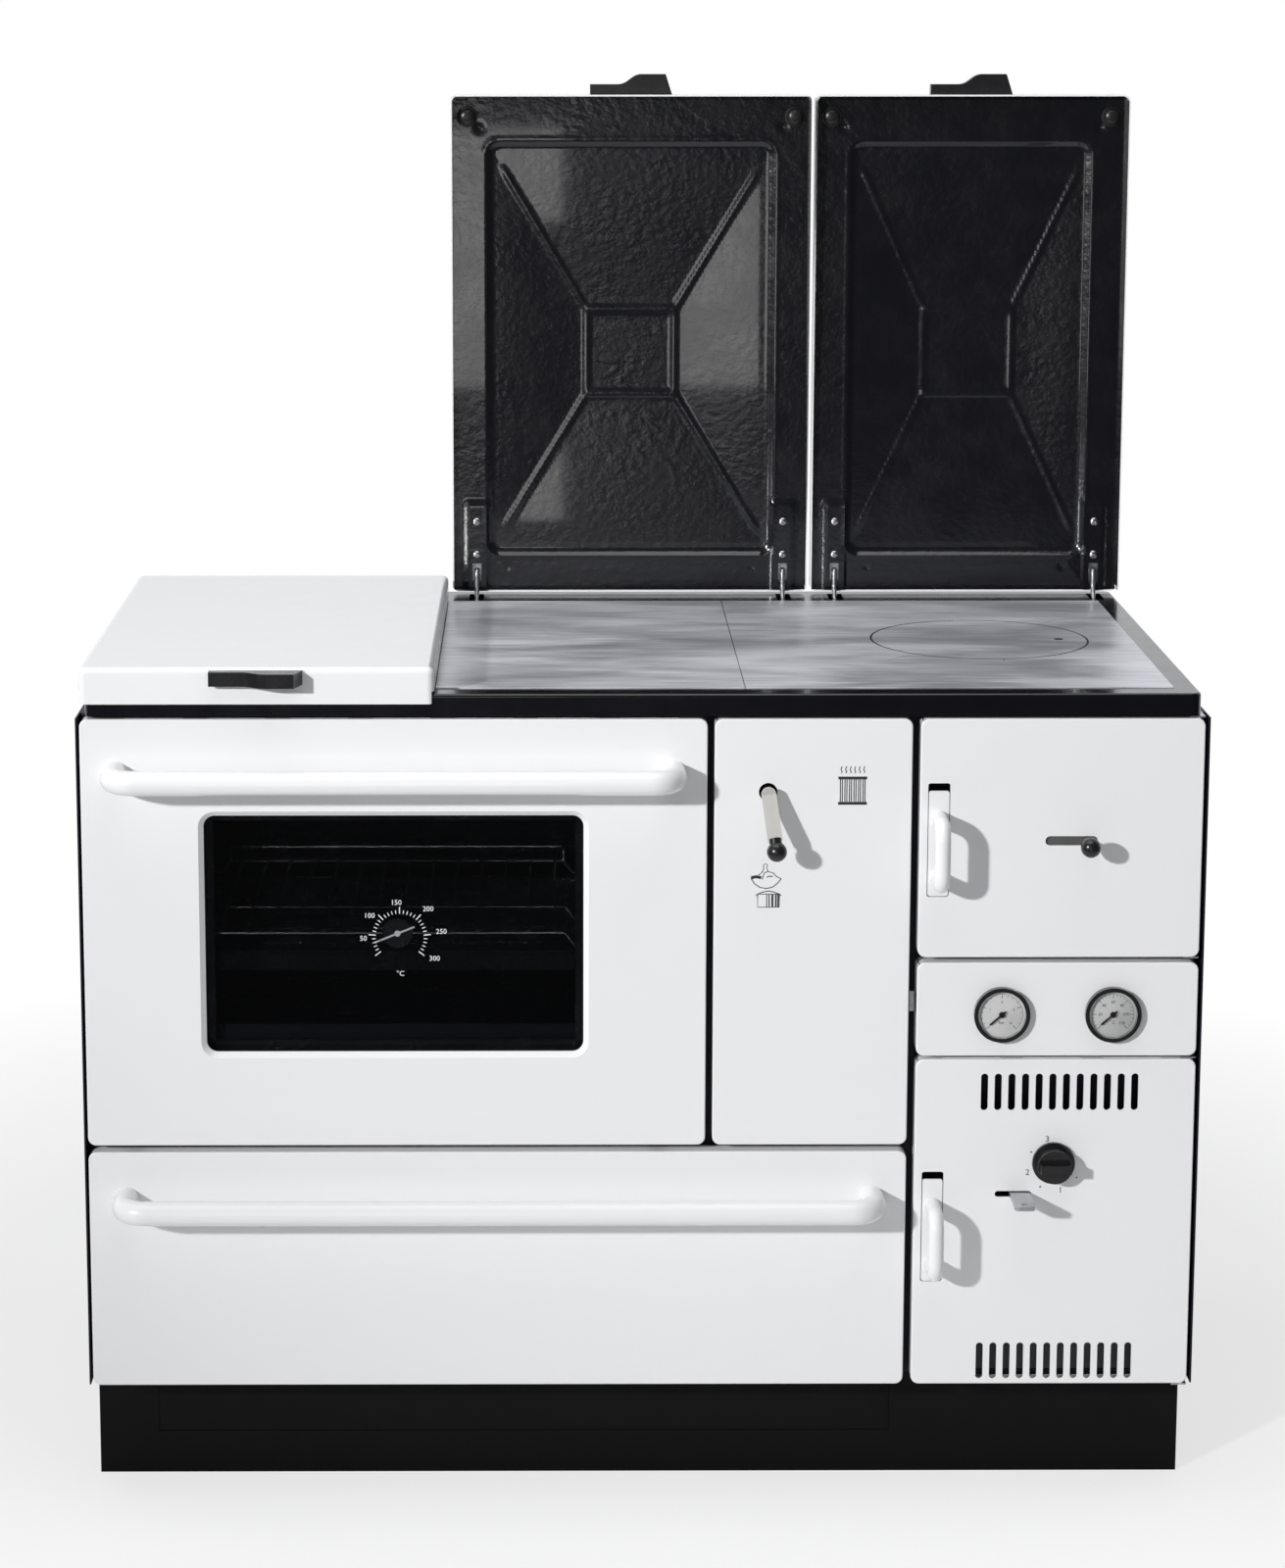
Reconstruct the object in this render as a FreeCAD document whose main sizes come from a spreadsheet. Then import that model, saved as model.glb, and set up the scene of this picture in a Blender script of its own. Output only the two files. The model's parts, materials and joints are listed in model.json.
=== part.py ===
"""Free-standing solid-fuel range cooker with a boiler, an oven, a fuel drawer and three hob lids.

Millimetres. X runs to the right, Y runs away from the person who stands in front of it, Z runs up.
The origin lies on the floor, under the middle of the whole cooker.
"""
import FreeCAD, Part
import Sketcher

import math
import os
import re

DIMENSIONS = {
    "casing": {
        "case_half": 550, "case_rear": 298, "door_face": -300, "left_edge": -546, "right_edge": 545,
        "side_sheet": 1.5, "side_front": -298, "side_low": 121, "side_top": 799, "side_flange": 14,
        "sheet": 2, "skin_depth": 20, "corner": 8, "soft_edge": 1.5, "gap": 0.3, "running": 0.05,
        "rear_low": 120, "rear_sheet": 1.5,
    },
    "base": {
        "plinth_half": 549, "plinth_face": -230, "plinth_rear": 290, "plinth_top": 120,
        "plinth_wall": 3, "plinth_margin": 30, "pan_top": 123, "pan_front": -274, "pan_half": 548.5,
        "groove_left": -489, "groove_right": 256, "groove_low": 44,
        "groove_width": 2, "groove_depth": 1,
    },
    "front frame": {
        "frame_face": -274, "frame_back": -270, "frame_left": -548.5, "frame_right": 548.5,
        "frame_top": 801,
    },
    "hob": {
        "hob_half": 541, "hob_front": -300, "hob_rear": 298, "hob_low": 801, "hob_top": 823,
        "hob_corner": 10, "hob_edge": 3, "plate_front": -272, "plate_back": 228, "plate_top": 824,
        "plate_low": 812, "plate_play": 0.5, "plates_left": -515, "plates_right": 518,
        "web_left": -210, "web_right": -202, "plate_seam": 100, "ledge": 8,
        "ring_x": 358, "ring_y": -11, "ring_radius": 112.5, "ring_seat": 104, "ring_low": 815,
        "lift_hole": 4, "lift_offset": 83, "lift_floor": 818,
        "relief_width": 1.6, "relief_depth": 1.2, "relief_inner": 112, "relief_outer": 157,
        "relief_short": 136,
    },
    "lids": {
        "lid_front": -304, "lid_rear": 248, "lid_low": 814, "lid_top": 850, "lid_sheet": 1.5,
        "lid_side_low": 826, "lid_liner": 830, "lid_corner": 7, "lid_edge": 6, "lid_inner_edge": 4.5,
        "lid_left": -546, "lid_seam_left": -200, "lid_seam_right": 200, "lid_right": 546,
        "lid_gap": 2, "hinge_y": 262, "hinge_z": 812, "hinge_inset": 27, "eye_inner": 3.05,
        "eye_outer": 7, "eye_half": 2.2, "hinge_pin": 3, "arm_radius": 2.7, "arm_level": 827, "arm_turn": 242,
        "arm_end": 224, "arm_socket": 837, "hinge_slot": 8, "hinge_slot_front": 236,
        "hinge_slot_rear": 279, "block_half": 10, "block_front": 160, "block_rear": 236,
        "block_low": 833, "block_top": 847, "liner_slot_front": 216, "liner_slot_rear": 240,
        "liner_slot_half": 5,
    },
    "lid handles": {
        "grip_half": 45, "grip_low": 833.5, "grip_top": 847.5, "grip_shallow": 11, "grip_deep": 22,
        "grip_step": -15, "grip_rise": 12, "grip_slant": 38,
    },
    "oven": {
        "oven_left": -469, "oven_right": -37, "oven_low": 480, "oven_high": 748, "oven_back": 100,
        "oven_wall": 3, "mouth_inset": 6, "runner_reach": 10, "tray_runner_low": 546,
        "tray_runner_high": 551, "rack_runner_low": 553.4, "rack_runner_high": 555.4,
        "tray_front": -246, "tray_back": 60, "tray_left": -440, "tray_right": -66,
        "tray_floor": 531, "tray_rim": 2, "tray_lip": 8,
        "rack_front": -240, "rack_middle": -139, "rack_back": 58, "rack_level": 570,
        "rack_drop": 12.6, "rack_bar": 2, "rack_wire": 1.6, "rack_first": -418, "rack_pitch": 25.6,
        "rack_left": -432, "rack_right": -75, "rack_bend": 9, "rack_stop": 586,
    },
    "oven door": {
        "oven_door_right": 62.5, "oven_door_low": 369.5, "door_top": 798.5,
        "window_left": -427.6, "window_right": -57.6, "window_low": 464, "window_high": 702,
        "window_corner": 11, "window_margin": 9, "window_depth": 7, "window_bevel": 5,
        "pane": 4, "pane_margin": 14, "inner_sheet": 3, "inner_margin": 4, "inner_window": 8,
        "boss_x": -240, "boss_z": 581, "boss_radius": 14.7, "boss_front": -284.6,
        "boss_back": -281, "stem_radius": 4, "stem_end": -252,
        "oven_axis_y": -290, "oven_axis_z": 379.5, "oven_pin": 3, "lug_half": 5,
        "lug_inset": 46, "cheek": 3, "cheek_gap": 3, "cheek_top": 392, "notch_top": 400,
        "vent_first": -503, "vent_pitch": 80, "vent_length": 57, "vent_width": 3, "vent_y": -296,
    },
    "towel rails": {
        "rail_radius": 12, "rail_stand": 45, "rail_bend": 22, "rail_wall": 2,
        "oven_rail_left": -524, "oven_rail_right": 42, "oven_rail_z": 745,
        "drawer_rail_left": -521, "drawer_rail_right": 240, "drawer_rail_z": 315,
    },
    "middle panel": {
        "middle_left": 69.5, "middle_right": 261.4, "lever_x": 121.5, "lever_z": 726,
        "shaft_radius": 5, "shaft_hole": 9, "lever_half": 7.2, "lever_front": -314,
        "lever_back": -310, "lever_length": 46, "knob_reach": 57, "knob_radius": 9.7,
        "knob_neck": 6, "knob_seat": 44, "lever_tilt": 7.5, "lever_lean": 26,
    },
    "right column": {
        "column_left": 269.3, "fire_door_low": 560, "gauge_high": 554.5, "gauge_low": 460,
        "ash_door_high": 456.5, "ash_door_low": 120.8, "gauge_left_x": 352.6, "gauge_right_x": 461.7,
        "gauge_z": 503, "bezel_radius": 27.5, "bezel_front": -307, "can_radius": 25,
        "can_back": -271, "dial_radius": 23.5, "dial_y": -302.5, "spindle": 1.2, "needle_front": -305,
        "needle_back": -304, "needle_length": 15.5, "needle_tail": 5, "needle_width": 1.6,
        "needle_hub": 3, "gauge_rest": 221, "oven_needle_length": 24, "oven_needle_tail": 18,
    },
    "hung doors": {
        "pin_x": 540, "pin_y": -295, "pin_radius": 2.5, "bracket_left": 530, "bracket_thick": 1.5,
        "pin_depth": 8, "inner_left": 303, "inner_right": 531, "inner_front": -292,
        "inner_back": -277, "inner_edge": 12, "post_radius": 5, "post_inset": 14,
        "handle_slot_left": 277, "handle_slot_right": 298.5, "handle_slot_corner": 2.5, "fire_slot_low": 621,
        "fire_slot_high": 734.5, "ash_slot_low": 228, "ash_slot_high": 341.5, "plate_height": 105,
        "plate_side": 0.8, "tongue_half": 5, "tongue_thick": 3, "loop_radius": 7.6,
        "loop_stand": 42, "loop_top": 26, "loop_drop": 60, "loop_bend": 14,
    },
    "fire door air slide": {
        "slide_left": 392, "slide_right": 443, "slide_z": 677, "slide_height": 9.4, "slide_end": 4.6,
        "slide_pin": 3.6, "slide_knob": 9.7, "slide_knob_x": 432, "slide_knob_y": -329,
        "slide_plate_left": 340, "slide_plate_right": 446, "slide_plate_half": 14,
        "slide_thick": 2,
    },
    "ash door": {
        "dial_x": 406.7, "dial_z": 351, "dial_face": 17, "dial_stand": -326, "dial_skirt": 21,
        "dial_stem": 4, "grip_bar": 4.5, "grip_depth": 9,
        "louvre_first": 333.9, "louvre_pitch": 13.46, "louvre_width": 7, "louvre_height": 37.5,
        "louvre_end": 3.4, "louvre_high": 404.5, "louvre_low": 126.5, "lever_slot_left": 349.6,
        "lever_slot_right": 385.6, "lever_slot_end": 3, "lever_slot_low": 315.4, "lever_slot_high": 321.6,
        "ash_inner_low": 134, "ash_inner_high": 308, "air_left": 350, "air_right": 470,
        "air_low": 165, "air_high": 215, "flap_lap": 6, "flap_thick": 2, "top_slot_first": 295,
        "top_slot_pitch": 79.5, "top_slot_length": 58,
    },
    "fire": {
        "boiler_left": 285, "boiler_right": 530, "boiler_back": 100, "boiler_top": 782,
        "box_left": 322, "box_right": 493, "box_front": -240, "box_back": 63, "grate_seat": 333,
        "throat_left": 330, "throat_right": 485, "throat_low": 590, "throat_high": 765,
        "grate_margin": 10, "ash_left": 300, "ash_right": 515, "ash_floor": 130, "ash_roof": 322,
        "water_wall": 4, "water_low": 350, "water_high": 738, "brick": 12, "brick_low": 350,
        "brick_high": 560, "grate_top": 347, "grate_left": 337.5, "grate_right": 492.5,
        "grate_front": -238, "grate_back": 61, "grate_slot": 8, "grate_slot_pitch": 20,
        "grate_slot_inset": 16, "bar_left": 364.2, "bar_right": 384.2, "bar_low": 316.5,
        "bar_high": 320.5, "bar_front": -346, "bar_back": -180, "bar_post": 16,
        "bar_eye": 3, "bar_tip": 4, "bar_eye_y": -338, "pan_left": 305, "pan_right": 510, "pan_face": -245,
        "pan_end": 50, "pan_rim": 215, "pan_sheet": 1.5, "ash_opening_low": 140,
        "ash_opening_high": 300, "port_low": 745, "port_high": 778, "port_front": 48,
        "port_back": 92,
    },
    "flue": {
        "flue_left": 20, "flue_front": 40, "flue_back": 270, "flue_low": 560, "flue_high": 790,
        "flue_wall": 3, "collar_x": 141, "collar_z": 675, "collar_radius": 75, "collar_bore": 72,
        "collar_end": 357, "flap_drop": 90, "flap_plate": 4, "flap_front": 60, "flap_back": 250,
        "soot_low": 600, "soot_high": 640,
    },
    "pipes": {
        "pipe_x": 500, "flow_z": 700, "return_z": 380, "pipe_radius": 20, "pipe_bore": 15.2,
        "pipe_end": 330, "coil_left": 400, "coil_right": 450, "coil_z": 718, "coil_radius": 13,
        "coil_bore": 9.3,
    },
    "drawer": {
        "drawer_low": 120.8, "drawer_high": 362.5, "box_floor": 128.3, "box_wall_top": 288,
        "box_left_side": -530, "box_right_side": 247, "box_rear": 130, "box_sheet": 1.5,
        "rail_left": -520, "rail_right": 217, "rail_width": 20, "rail_top": 128,
        "rail_rear": 140, "rail_front": -268,
    },
}
DOOR_VENTS = 7
LOUVRES = 12
TOP_SLOTS = 3
RACK_WIRES = 14
GRATE_SLOTS = 6
RELIEF_ANGLES = (50, 96, 228, 276)
RELIEF_SHORT_ANGLE = 180
THERMOMETER_REST = 202
SAME = 1e-6  # two lengths that are nearer than this are equal

DOC = FreeCAD.newDocument("RangeCooker")
SHEET = DOC.addObject("Spreadsheet::Sheet", "Dims")
PARTS = []
SIDES = ("Length", "Width", "Height")
ALONG = {
    "x": FreeCAD.Rotation(FreeCAD.Vector(0, 1, 0), 90),
    "y": FreeCAD.Rotation(FreeCAD.Vector(1, 0, 0), -90),
    "z": FreeCAD.Rotation(),
}
WORD = re.compile(r"[a-z][a-z_0-9]*")


def fill_sheet():
    """One row for each driving dimension, under the name of its section."""
    row = 1
    for section, values in DIMENSIONS.items():
        SHEET.set("A%d" % row, section)
        row += 1
        for alias, value in values.items():
            SHEET.set("A%d" % row, alias)
            SHEET.set("B%d" % row, str(value))
            SHEET.setAlias("B%d" % row, alias)
            row += 1
    DOC.recompute()


def dim(alias):
    """The value of a named dimension."""
    return float(SHEET.get(alias))


def ref(expression):
    """The expression with each dimension's name pointing at its cell."""
    return WORD.sub(lambda found: "Dims." + found.group(0), expression)


def box(x, y, z):
    """A block between a low and a high expression along each axis."""
    block = DOC.addObject("Part::Box", "Block")
    for side, axis, (low, high) in zip(SIDES, "xyz", (x, y, z)):
        block.setExpression(side, ref("(%s) - (%s)" % (high, low)))
        block.setExpression(".Placement.Base." + axis, ref(low))
    return block


def rod(axis, centre, radius, span):
    """A cylinder along one axis; centre holds the other two coordinates in their usual order."""
    bar = DOC.addObject("Part::Cylinder", "Rod")
    bar.Placement = FreeCAD.Placement(FreeCAD.Vector(), ALONG[axis])
    bar.setExpression("Radius", ref(radius))
    bar.setExpression("Height", ref("(%s) - (%s)" % (span[1], span[0])))
    others = [name for name in "xyz" if name != axis]
    for name, place in zip(others + [axis], list(centre) + [span[0]]):
        bar.setExpression(".Placement.Base." + name, ref(place))
    return bar


def ball(centre, radius):
    """A sphere about a point."""
    sphere = DOC.addObject("Part::Sphere", "Ball")
    sphere.setExpression("Radius", ref(radius))
    for name, place in zip("xyz", centre):
        sphere.setExpression(".Placement.Base." + name, ref(place))
    return sphere


def fuse(*pieces):
    """Several solids as one."""
    if len(pieces) == 1:
        return pieces[0]
    whole = DOC.addObject("Part::MultiFuse", "Joined")
    whole.Shapes = list(pieces)
    whole.Refine = True
    return whole


def cut(base, *tools):
    """A solid with the tools taken out of it."""
    left = DOC.addObject("Part::Cut", "Trimmed")
    left.Base = base
    left.Tool = fuse(*tools)
    left.Refine = True
    return left


def group(*pieces):
    """Separate solids kept in one sub-part."""
    kept = DOC.addObject("Part::Compound", "Group")
    kept.Links = list(pieces)
    return kept


def runs_along(edge, axis):
    """Whether a straight edge lies along an axis."""
    if edge.Curve.TypeId != "Part::GeomLine":
        return False
    return abs(abs(edge.tangentAt(edge.FirstParameter).dot(axis)) - 1) < SAME


def rounded(base, radius, choose, kind="Part::Fillet"):
    """The base with each edge that is chosen rounded, or cut at 45 degrees by a Part::Chamfer."""
    DOC.recompute()
    edges = [number for number, edge in enumerate(base.Shape.Edges, 1) if choose(edge)]
    soft = DOC.addObject(kind, "Rounded")
    soft.Base = base
    soft.Edges = [(number, dim(radius), dim(radius)) for number in edges]
    return soft


def upright(edge):
    """Whether an edge stands along Z."""
    return runs_along(edge, FreeCAD.Vector(0, 0, 1))


def rounded_block(x, y, z, radius):
    """A block whose four upright edges are round."""
    return rounded(box(x, y, z), radius, upright)


def feature(shape):
    """A sub-part whose shape is worked out directly."""
    piece = DOC.addObject("Part::Feature", "Piece")
    piece.Shape = shape
    return piece


def keep(piece, label, placement=None):
    """Names a finished sub-part and, if it is turned or moved, places it."""
    piece.Label = label
    if placement is not None:
        piece.Placement = placement
    PARTS.append(piece)
    return piece


def bent_bar(points, radius, bend):
    """A round bar along straight runs that are joined by tangent arcs."""
    points = [FreeCAD.Vector(*point) for point in points]
    edges = []
    start = points[0]
    for before, corner, after in zip(points, points[1:], points[2:]):
        inward = (before - corner).normalize()
        outward = (after - corner).normalize()
        turn = math.pi - inward.getAngle(outward)
        reach = bend * math.tan(turn / 2)
        enter = corner + inward * reach
        leave = corner + outward * reach
        middle_line = (inward + outward).normalize()
        centre = corner + middle_line * (bend / math.cos(turn / 2))
        edges.append(Part.LineSegment(start, enter).toShape())
        edges.append(Part.Arc(enter, centre - middle_line * bend, leave).toShape())
        start = leave
    edges.append(Part.LineSegment(start, points[-1]).toShape())
    path = Part.Wire(edges)
    ring = Part.Wire(Part.makeCircle(radius, points[0], points[1] - points[0]))
    return path.makePipeShell([ring], True, False)


# Pressed fronts ------------------------------------------------------------------------------------

def plane(body, role):
    """One of a body's own origin planes."""
    return next(item for item in body.Origin.OriginFeatures if item.Role == role)


def sketch_on(body, role, offset=None):
    """An empty sketch on one of the body's origin planes, moved along its normal if asked."""
    sketch = body.newObject("Sketcher::SketchObject", "Outline")
    sketch.AttachmentSupport = (plane(body, role), "")
    sketch.MapMode = "FlatFace"
    if offset is not None:
        sketch.setExpression(".AttachmentOffset.Base.z", ref(offset))
    return sketch


def draw_rectangle(sketch, x, z):
    """A rectangle held by four dimensions, each bound to the sheet."""
    first = sketch.GeometryCount
    corners = [FreeCAD.Vector(0, 0, 0), FreeCAD.Vector(10, 0, 0),
               FreeCAD.Vector(10, 10, 0), FreeCAD.Vector(0, 10, 0)]
    for start, end in zip(corners, corners[1:] + corners[:1]):
        sketch.addGeometry(Part.LineSegment(start, end), False)
    for side in range(4):
        sketch.addConstraint(Sketcher.Constraint(
            "Coincident", first + side, 2, first + (side + 1) % 4, 1))
    for side in (0, 2):
        sketch.addConstraint(Sketcher.Constraint("Horizontal", first + side))
        sketch.addConstraint(Sketcher.Constraint("Vertical", first + side + 1))
    held = (
        ("DistanceX", (-1, 1, first, 1), x[0]),
        ("DistanceY", (-1, 1, first, 1), z[0]),
        ("DistanceX", (first, 1, first, 2), "(%s) - (%s)" % (x[1], x[0])),
        ("DistanceY", (first + 1, 1, first + 1, 2), "(%s) - (%s)" % (z[1], z[0])),
    )
    for kind, ends, expression in held:
        index = sketch.addConstraint(Sketcher.Constraint(kind, *ends, 1.0))
        sketch.renameConstraint(index, "d%d" % index)
        sketch.setExpression("Constraints.d%d" % index, ref(expression))


def draw_circle(sketch, x, z, radius):
    """A circle held by its centre and radius, each bound to the sheet."""
    centre = FreeCAD.Vector(1, 1, 0)
    item = sketch.addGeometry(Part.Circle(centre, FreeCAD.Vector(0, 0, 1), 1), False)
    held = (
        ("DistanceX", (-1, 1, item, 3), x),
        ("DistanceY", (-1, 1, item, 3), z),
        ("Radius", (item,), radius),
    )
    for kind, ends, expression in held:
        index = sketch.addConstraint(Sketcher.Constraint(kind, *ends, 1.0))
        sketch.renameConstraint(index, "d%d" % index)
        sketch.setExpression("Constraints.d%d" % index, ref(expression))


class PressedFront:
    """A sheet front in the XZ plane: a pan that is open at the back, with holes from the front."""

    def __init__(self, x, z, depth, corner="corner", hollow=True):
        self.depth = depth
        self.body = DOC.addObject("PartDesign::Body", "Front")
        outline = sketch_on(self.body, "XZ_Plane")
        draw_rectangle(outline, x, z)
        pad = self.body.newObject("PartDesign::Pad", "Pad")
        pad.Profile = outline
        pad.setExpression("Length", ref(depth))
        pad.Reversed = True
        self.round_edges(corner, lambda edge: runs_along(edge, FreeCAD.Vector(0, 1, 0)))
        self.round_edges("soft_edge", lambda edge: edge.BoundBox.YMax < SAME)
        if hollow:
            inner = sketch_on(self.body, "XZ_Plane", "-(%s)" % depth)
            draw_rectangle(inner, (x[0] + " + sheet", x[1] + " - sheet"),
                           (z[0] + " + sheet", z[1] + " - sheet"))
            self.take_out(inner, length=depth + " - sheet", backwards=True)

    def round_edges(self, radius, choose):
        """Rounds the chosen edges of the body as it is."""
        DOC.recompute()
        tip = self.body.Tip
        names = ["Edge%d" % number for number, edge in enumerate(tip.Shape.Edges, 1) if choose(edge)]
        soft = self.body.newObject("PartDesign::Fillet", "Rounding")
        soft.Base = (tip, names)
        soft.setExpression("Radius", ref(radius))
        self.body.Tip = soft

    def take_out(self, profile, length=None, backwards=False):
        """Cuts the profile out, right through or to a length, and checks that metal came off."""
        DOC.recompute()
        before = self.body.Shape.Volume
        pocket = self.body.newObject("PartDesign::Pocket", "Opening")
        pocket.Profile = profile
        pocket.Reversed = backwards
        if length is None:
            pocket.Type = "ThroughAll"
        else:
            pocket.setExpression("Length", ref(length))
        DOC.recompute()
        if self.body.Shape.Volume >= before:
            raise ValueError("a pocket of %s cut nothing" % self.body.Label)
        return pocket

    def window(self, x, z, corner=None):
        """A rectangular hole, with its corners rounded if a radius is named."""
        profile = sketch_on(self.body, "XZ_Plane")
        draw_rectangle(profile, x, z)
        pocket = self.take_out(profile)
        if corner:
            self.round_corners(corner, profile.Shape.BoundBox)
        return pocket

    def round_corners(self, radius, area):
        """Rounds the corners of the holes that lie in an area of the front."""
        area.enlarge(dim("gap"))

        def in_area(edge):
            middle = edge.BoundBox.Center
            return (runs_along(edge, FreeCAD.Vector(0, 1, 0)) and area.XMin < middle.x < area.XMax
                    and area.ZMin < middle.z < area.ZMax)

        self.round_edges(radius, in_area)

    def hole(self, x, z, radius):
        """A round hole."""
        profile = sketch_on(self.body, "XZ_Plane")
        draw_circle(profile, x, z, radius)
        return self.take_out(profile)

    def row(self, x, z, pitch, count, corner):
        """A row of equal round-ended slots to the right of the first."""
        first = self.window(x, z)
        pattern = self.body.newObject("PartDesign::LinearPattern", "Row")
        pattern.Originals = [first]
        pattern.Direction = (first.Profile[0], ["H_Axis"])
        pattern.setExpression("Length", ref("%s * %d" % (pitch, count - 1)))
        pattern.Occurrences = count
        self.body.Tip = pattern
        area = first.Profile[0].Shape.BoundBox
        area.XMax += dim(pitch) * (count - 1)
        self.round_corners(corner, area)

    def keep(self, label, y="door_face"):
        """Names the front and moves its face to its place in depth."""
        self.body.setExpression(".Placement.Base.y", ref(y))
        return keep(self.body, label)


# Base, casing and front frame ----------------------------------------------------------------------

def base_frame():
    """The plinth's four walls and the floor of the casing that they carry, one welded piece."""
    walls = box(("-plinth_half", "plinth_half"), ("plinth_face", "plinth_rear"), ("0", "plinth_top"))
    inside = box(("-plinth_half + plinth_wall", "plinth_half - plinth_wall"),
                 ("plinth_face + plinth_wall", "plinth_rear - plinth_wall"),
                 ("-plinth_margin", "plinth_top"))
    pan = box(("-pan_half", "pan_half"), ("pan_front", "case_rear - rear_sheet"),
              ("plinth_top", "pan_top"))
    groove_face = ("plinth_face - groove_depth", "plinth_face + groove_depth")
    grooves = [
        box(("groove_left", "groove_left + groove_width"), groove_face, ("groove_low", "plinth_top")),
        box(("groove_right - groove_width", "groove_right"), groove_face,
            ("groove_low", "plinth_top")),
        box(("groove_left", "groove_right"), groove_face, ("groove_low", "groove_low + groove_width")),
    ]
    keep(cut(fuse(cut(walls, inside), pan), *grooves), "base_frame")


def side_panel(label, outer, inner, lip):
    """A casing side with a flange turned in along its top and its back."""
    skin = box(sorted_pair(outer, inner), ("side_front", "case_rear"), ("side_low", "side_top"))
    top = box(sorted_pair(inner, lip), ("frame_back", "case_rear"),
              ("side_top - side_sheet", "side_top"))
    back = box(sorted_pair(inner, lip), ("case_rear - side_sheet", "case_rear"),
               ("side_low", "side_top"))
    keep(fuse(skin, top, back), label)


def sorted_pair(first, second):
    """The two expressions in rising order: left-hand places start with a minus sign."""
    return (first, second) if first.startswith("-") else (second, first)


def rear_panel():
    """The casing's back, with the flue and the pipes passing through it."""
    sheet = box(("-case_half + side_sheet + side_flange", "case_half - side_sheet - side_flange"),
                ("case_rear - rear_sheet", "case_rear"), ("rear_low", "hob_low"))
    span = ("flue_back", "case_rear + pipe_radius")
    holes = [rod("y", ("collar_x", "collar_z"), "collar_radius + sheet", span)]
    for x, z, radius in pipe_places():
        holes.append(rod("y", (x, z), radius + " + sheet", span))
    keep(cut(sheet, *holes), "rear_panel")


def pipe_places():
    """Where each water connection leaves the back, with its outer radius."""
    return (
        ("pipe_x", "flow_z", "pipe_radius"), ("pipe_x", "return_z", "pipe_radius"),
        ("coil_left", "coil_z", "coil_radius"), ("coil_right", "coil_z", "coil_radius"),
    )


def front_frame():
    """The sheet behind the doors, with an opening for each thing that the doors close."""
    sheet = PressedFront(("frame_left", "frame_right"), ("pan_top", "frame_top"),
                         "frame_back - frame_face", hollow=False)
    inset = "mouth_inset"
    sheet.window(("oven_left + " + inset, "oven_right - " + inset),
                 ("oven_low + " + inset, "oven_high - " + inset))
    sheet.window(("box_left_side - sheet", "box_right_side + sheet"),
                 ("pan_top + sheet", "drawer_high - corner"))
    sheet.window(("throat_left", "throat_right"), ("throat_low", "throat_high"))
    sheet.window(("ash_left", "ash_right"), ("ash_opening_low", "ash_opening_high"))
    sheet.window(("lever_slot_left - sheet", "lever_slot_right + sheet"),
                 ("bar_low - sheet", "bar_high + sheet"))
    sheet.hole("lever_x", "lever_z", "shaft_hole")
    for x in ("gauge_left_x", "gauge_right_x"):
        sheet.hole(x, "gauge_z", "can_radius + sheet")
    sheet.keep("front_frame", "frame_face")


def door_hinge_pins():
    """A pinned bracket above and below each hung door, and the oven door's two pinned lugs."""
    brackets = []
    seats = (
        ("door_top", "door_top + gap", "frame_face"),
        ("fire_door_low", "fire_door_low - gap - bracket_thick", "frame_face"),
        ("ash_door_high", "ash_door_high + gap", "frame_face"),
        ("ash_door_low", "plinth_top - bracket_thick", "plinth_face"),
    )
    for edge, low, root in seats:
        plate = (low, low + " + bracket_thick")
        above = edge in ("door_top", "ash_door_high")
        span = (edge + " - pin_depth", low) if above else (low, edge + " + pin_depth")
        arm = box(("bracket_left", "right_edge"), ("pin_y - pin_radius", root), plate)
        brackets.append(fuse(arm, rod("z", ("pin_x", "pin_y"), "pin_radius", span)))
    keep(group(*brackets, *oven_hinge_lugs()), "door_hinge_pins")


def fixed_fronts():
    """The two white panels that don't open."""
    middle = PressedFront(("middle_left", "middle_right"), ("oven_door_low", "door_top"),
                          "frame_face - door_face")
    middle.hole("lever_x", "lever_z", "shaft_hole")
    middle.keep("middle_panel")
    gauges = PressedFront(("column_left", "right_edge"), ("gauge_low", "gauge_high"),
                          "frame_face - door_face")
    for x in ("gauge_left_x", "gauge_right_x"):
        gauges.hole(x, "gauge_z", "can_radius + gap")
    gauges.keep("gauge_panel")


# Hob -----------------------------------------------------------------------------------------------

def hob_frame():
    """The enamelled casting round the plates, with a pinned slot for each lid arm."""
    outline = rounded_block(("-hob_half", "hob_half"), ("hob_front", "hob_rear"),
                            ("hob_low", "hob_top"), "hob_corner")
    frame = rounded(outline, "hob_edge",
                    lambda edge: edge.BoundBox.ZMin > dim("hob_top") - SAME)
    tools = []
    for left, right in (("plates_left", "web_left"), ("web_right", "plates_right")):
        tools.append(box((left, right), ("plate_front", "plate_back"), ("plate_low", "plate_top")))
        tools.append(box((left + " + ledge", right + " - ledge"),
                         ("plate_front + ledge", "plate_back - ledge"), ("hob_low", "plate_top")))
    pins = []
    for x in arm_places():
        tools.append(box(("%s - hinge_slot" % x, "%s + hinge_slot" % x),
                         ("hinge_slot_front", "hinge_slot_rear"), ("hob_low", "plate_top")))
        pins.append(rod("x", ("hinge_y", "hinge_z"), "hinge_pin",
                        ("%s - hinge_slot" % x, "%s + hinge_slot" % x)))
    keep(fuse(cut(frame, *tools), *pins), "hob_frame")


def arm_places():
    """Where the six lid arms stand across the hob."""
    places = []
    for left, right in lid_spans():
        places += ["(%s + hinge_inset)" % left, "(%s - hinge_inset)" % right]
    return places


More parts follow.
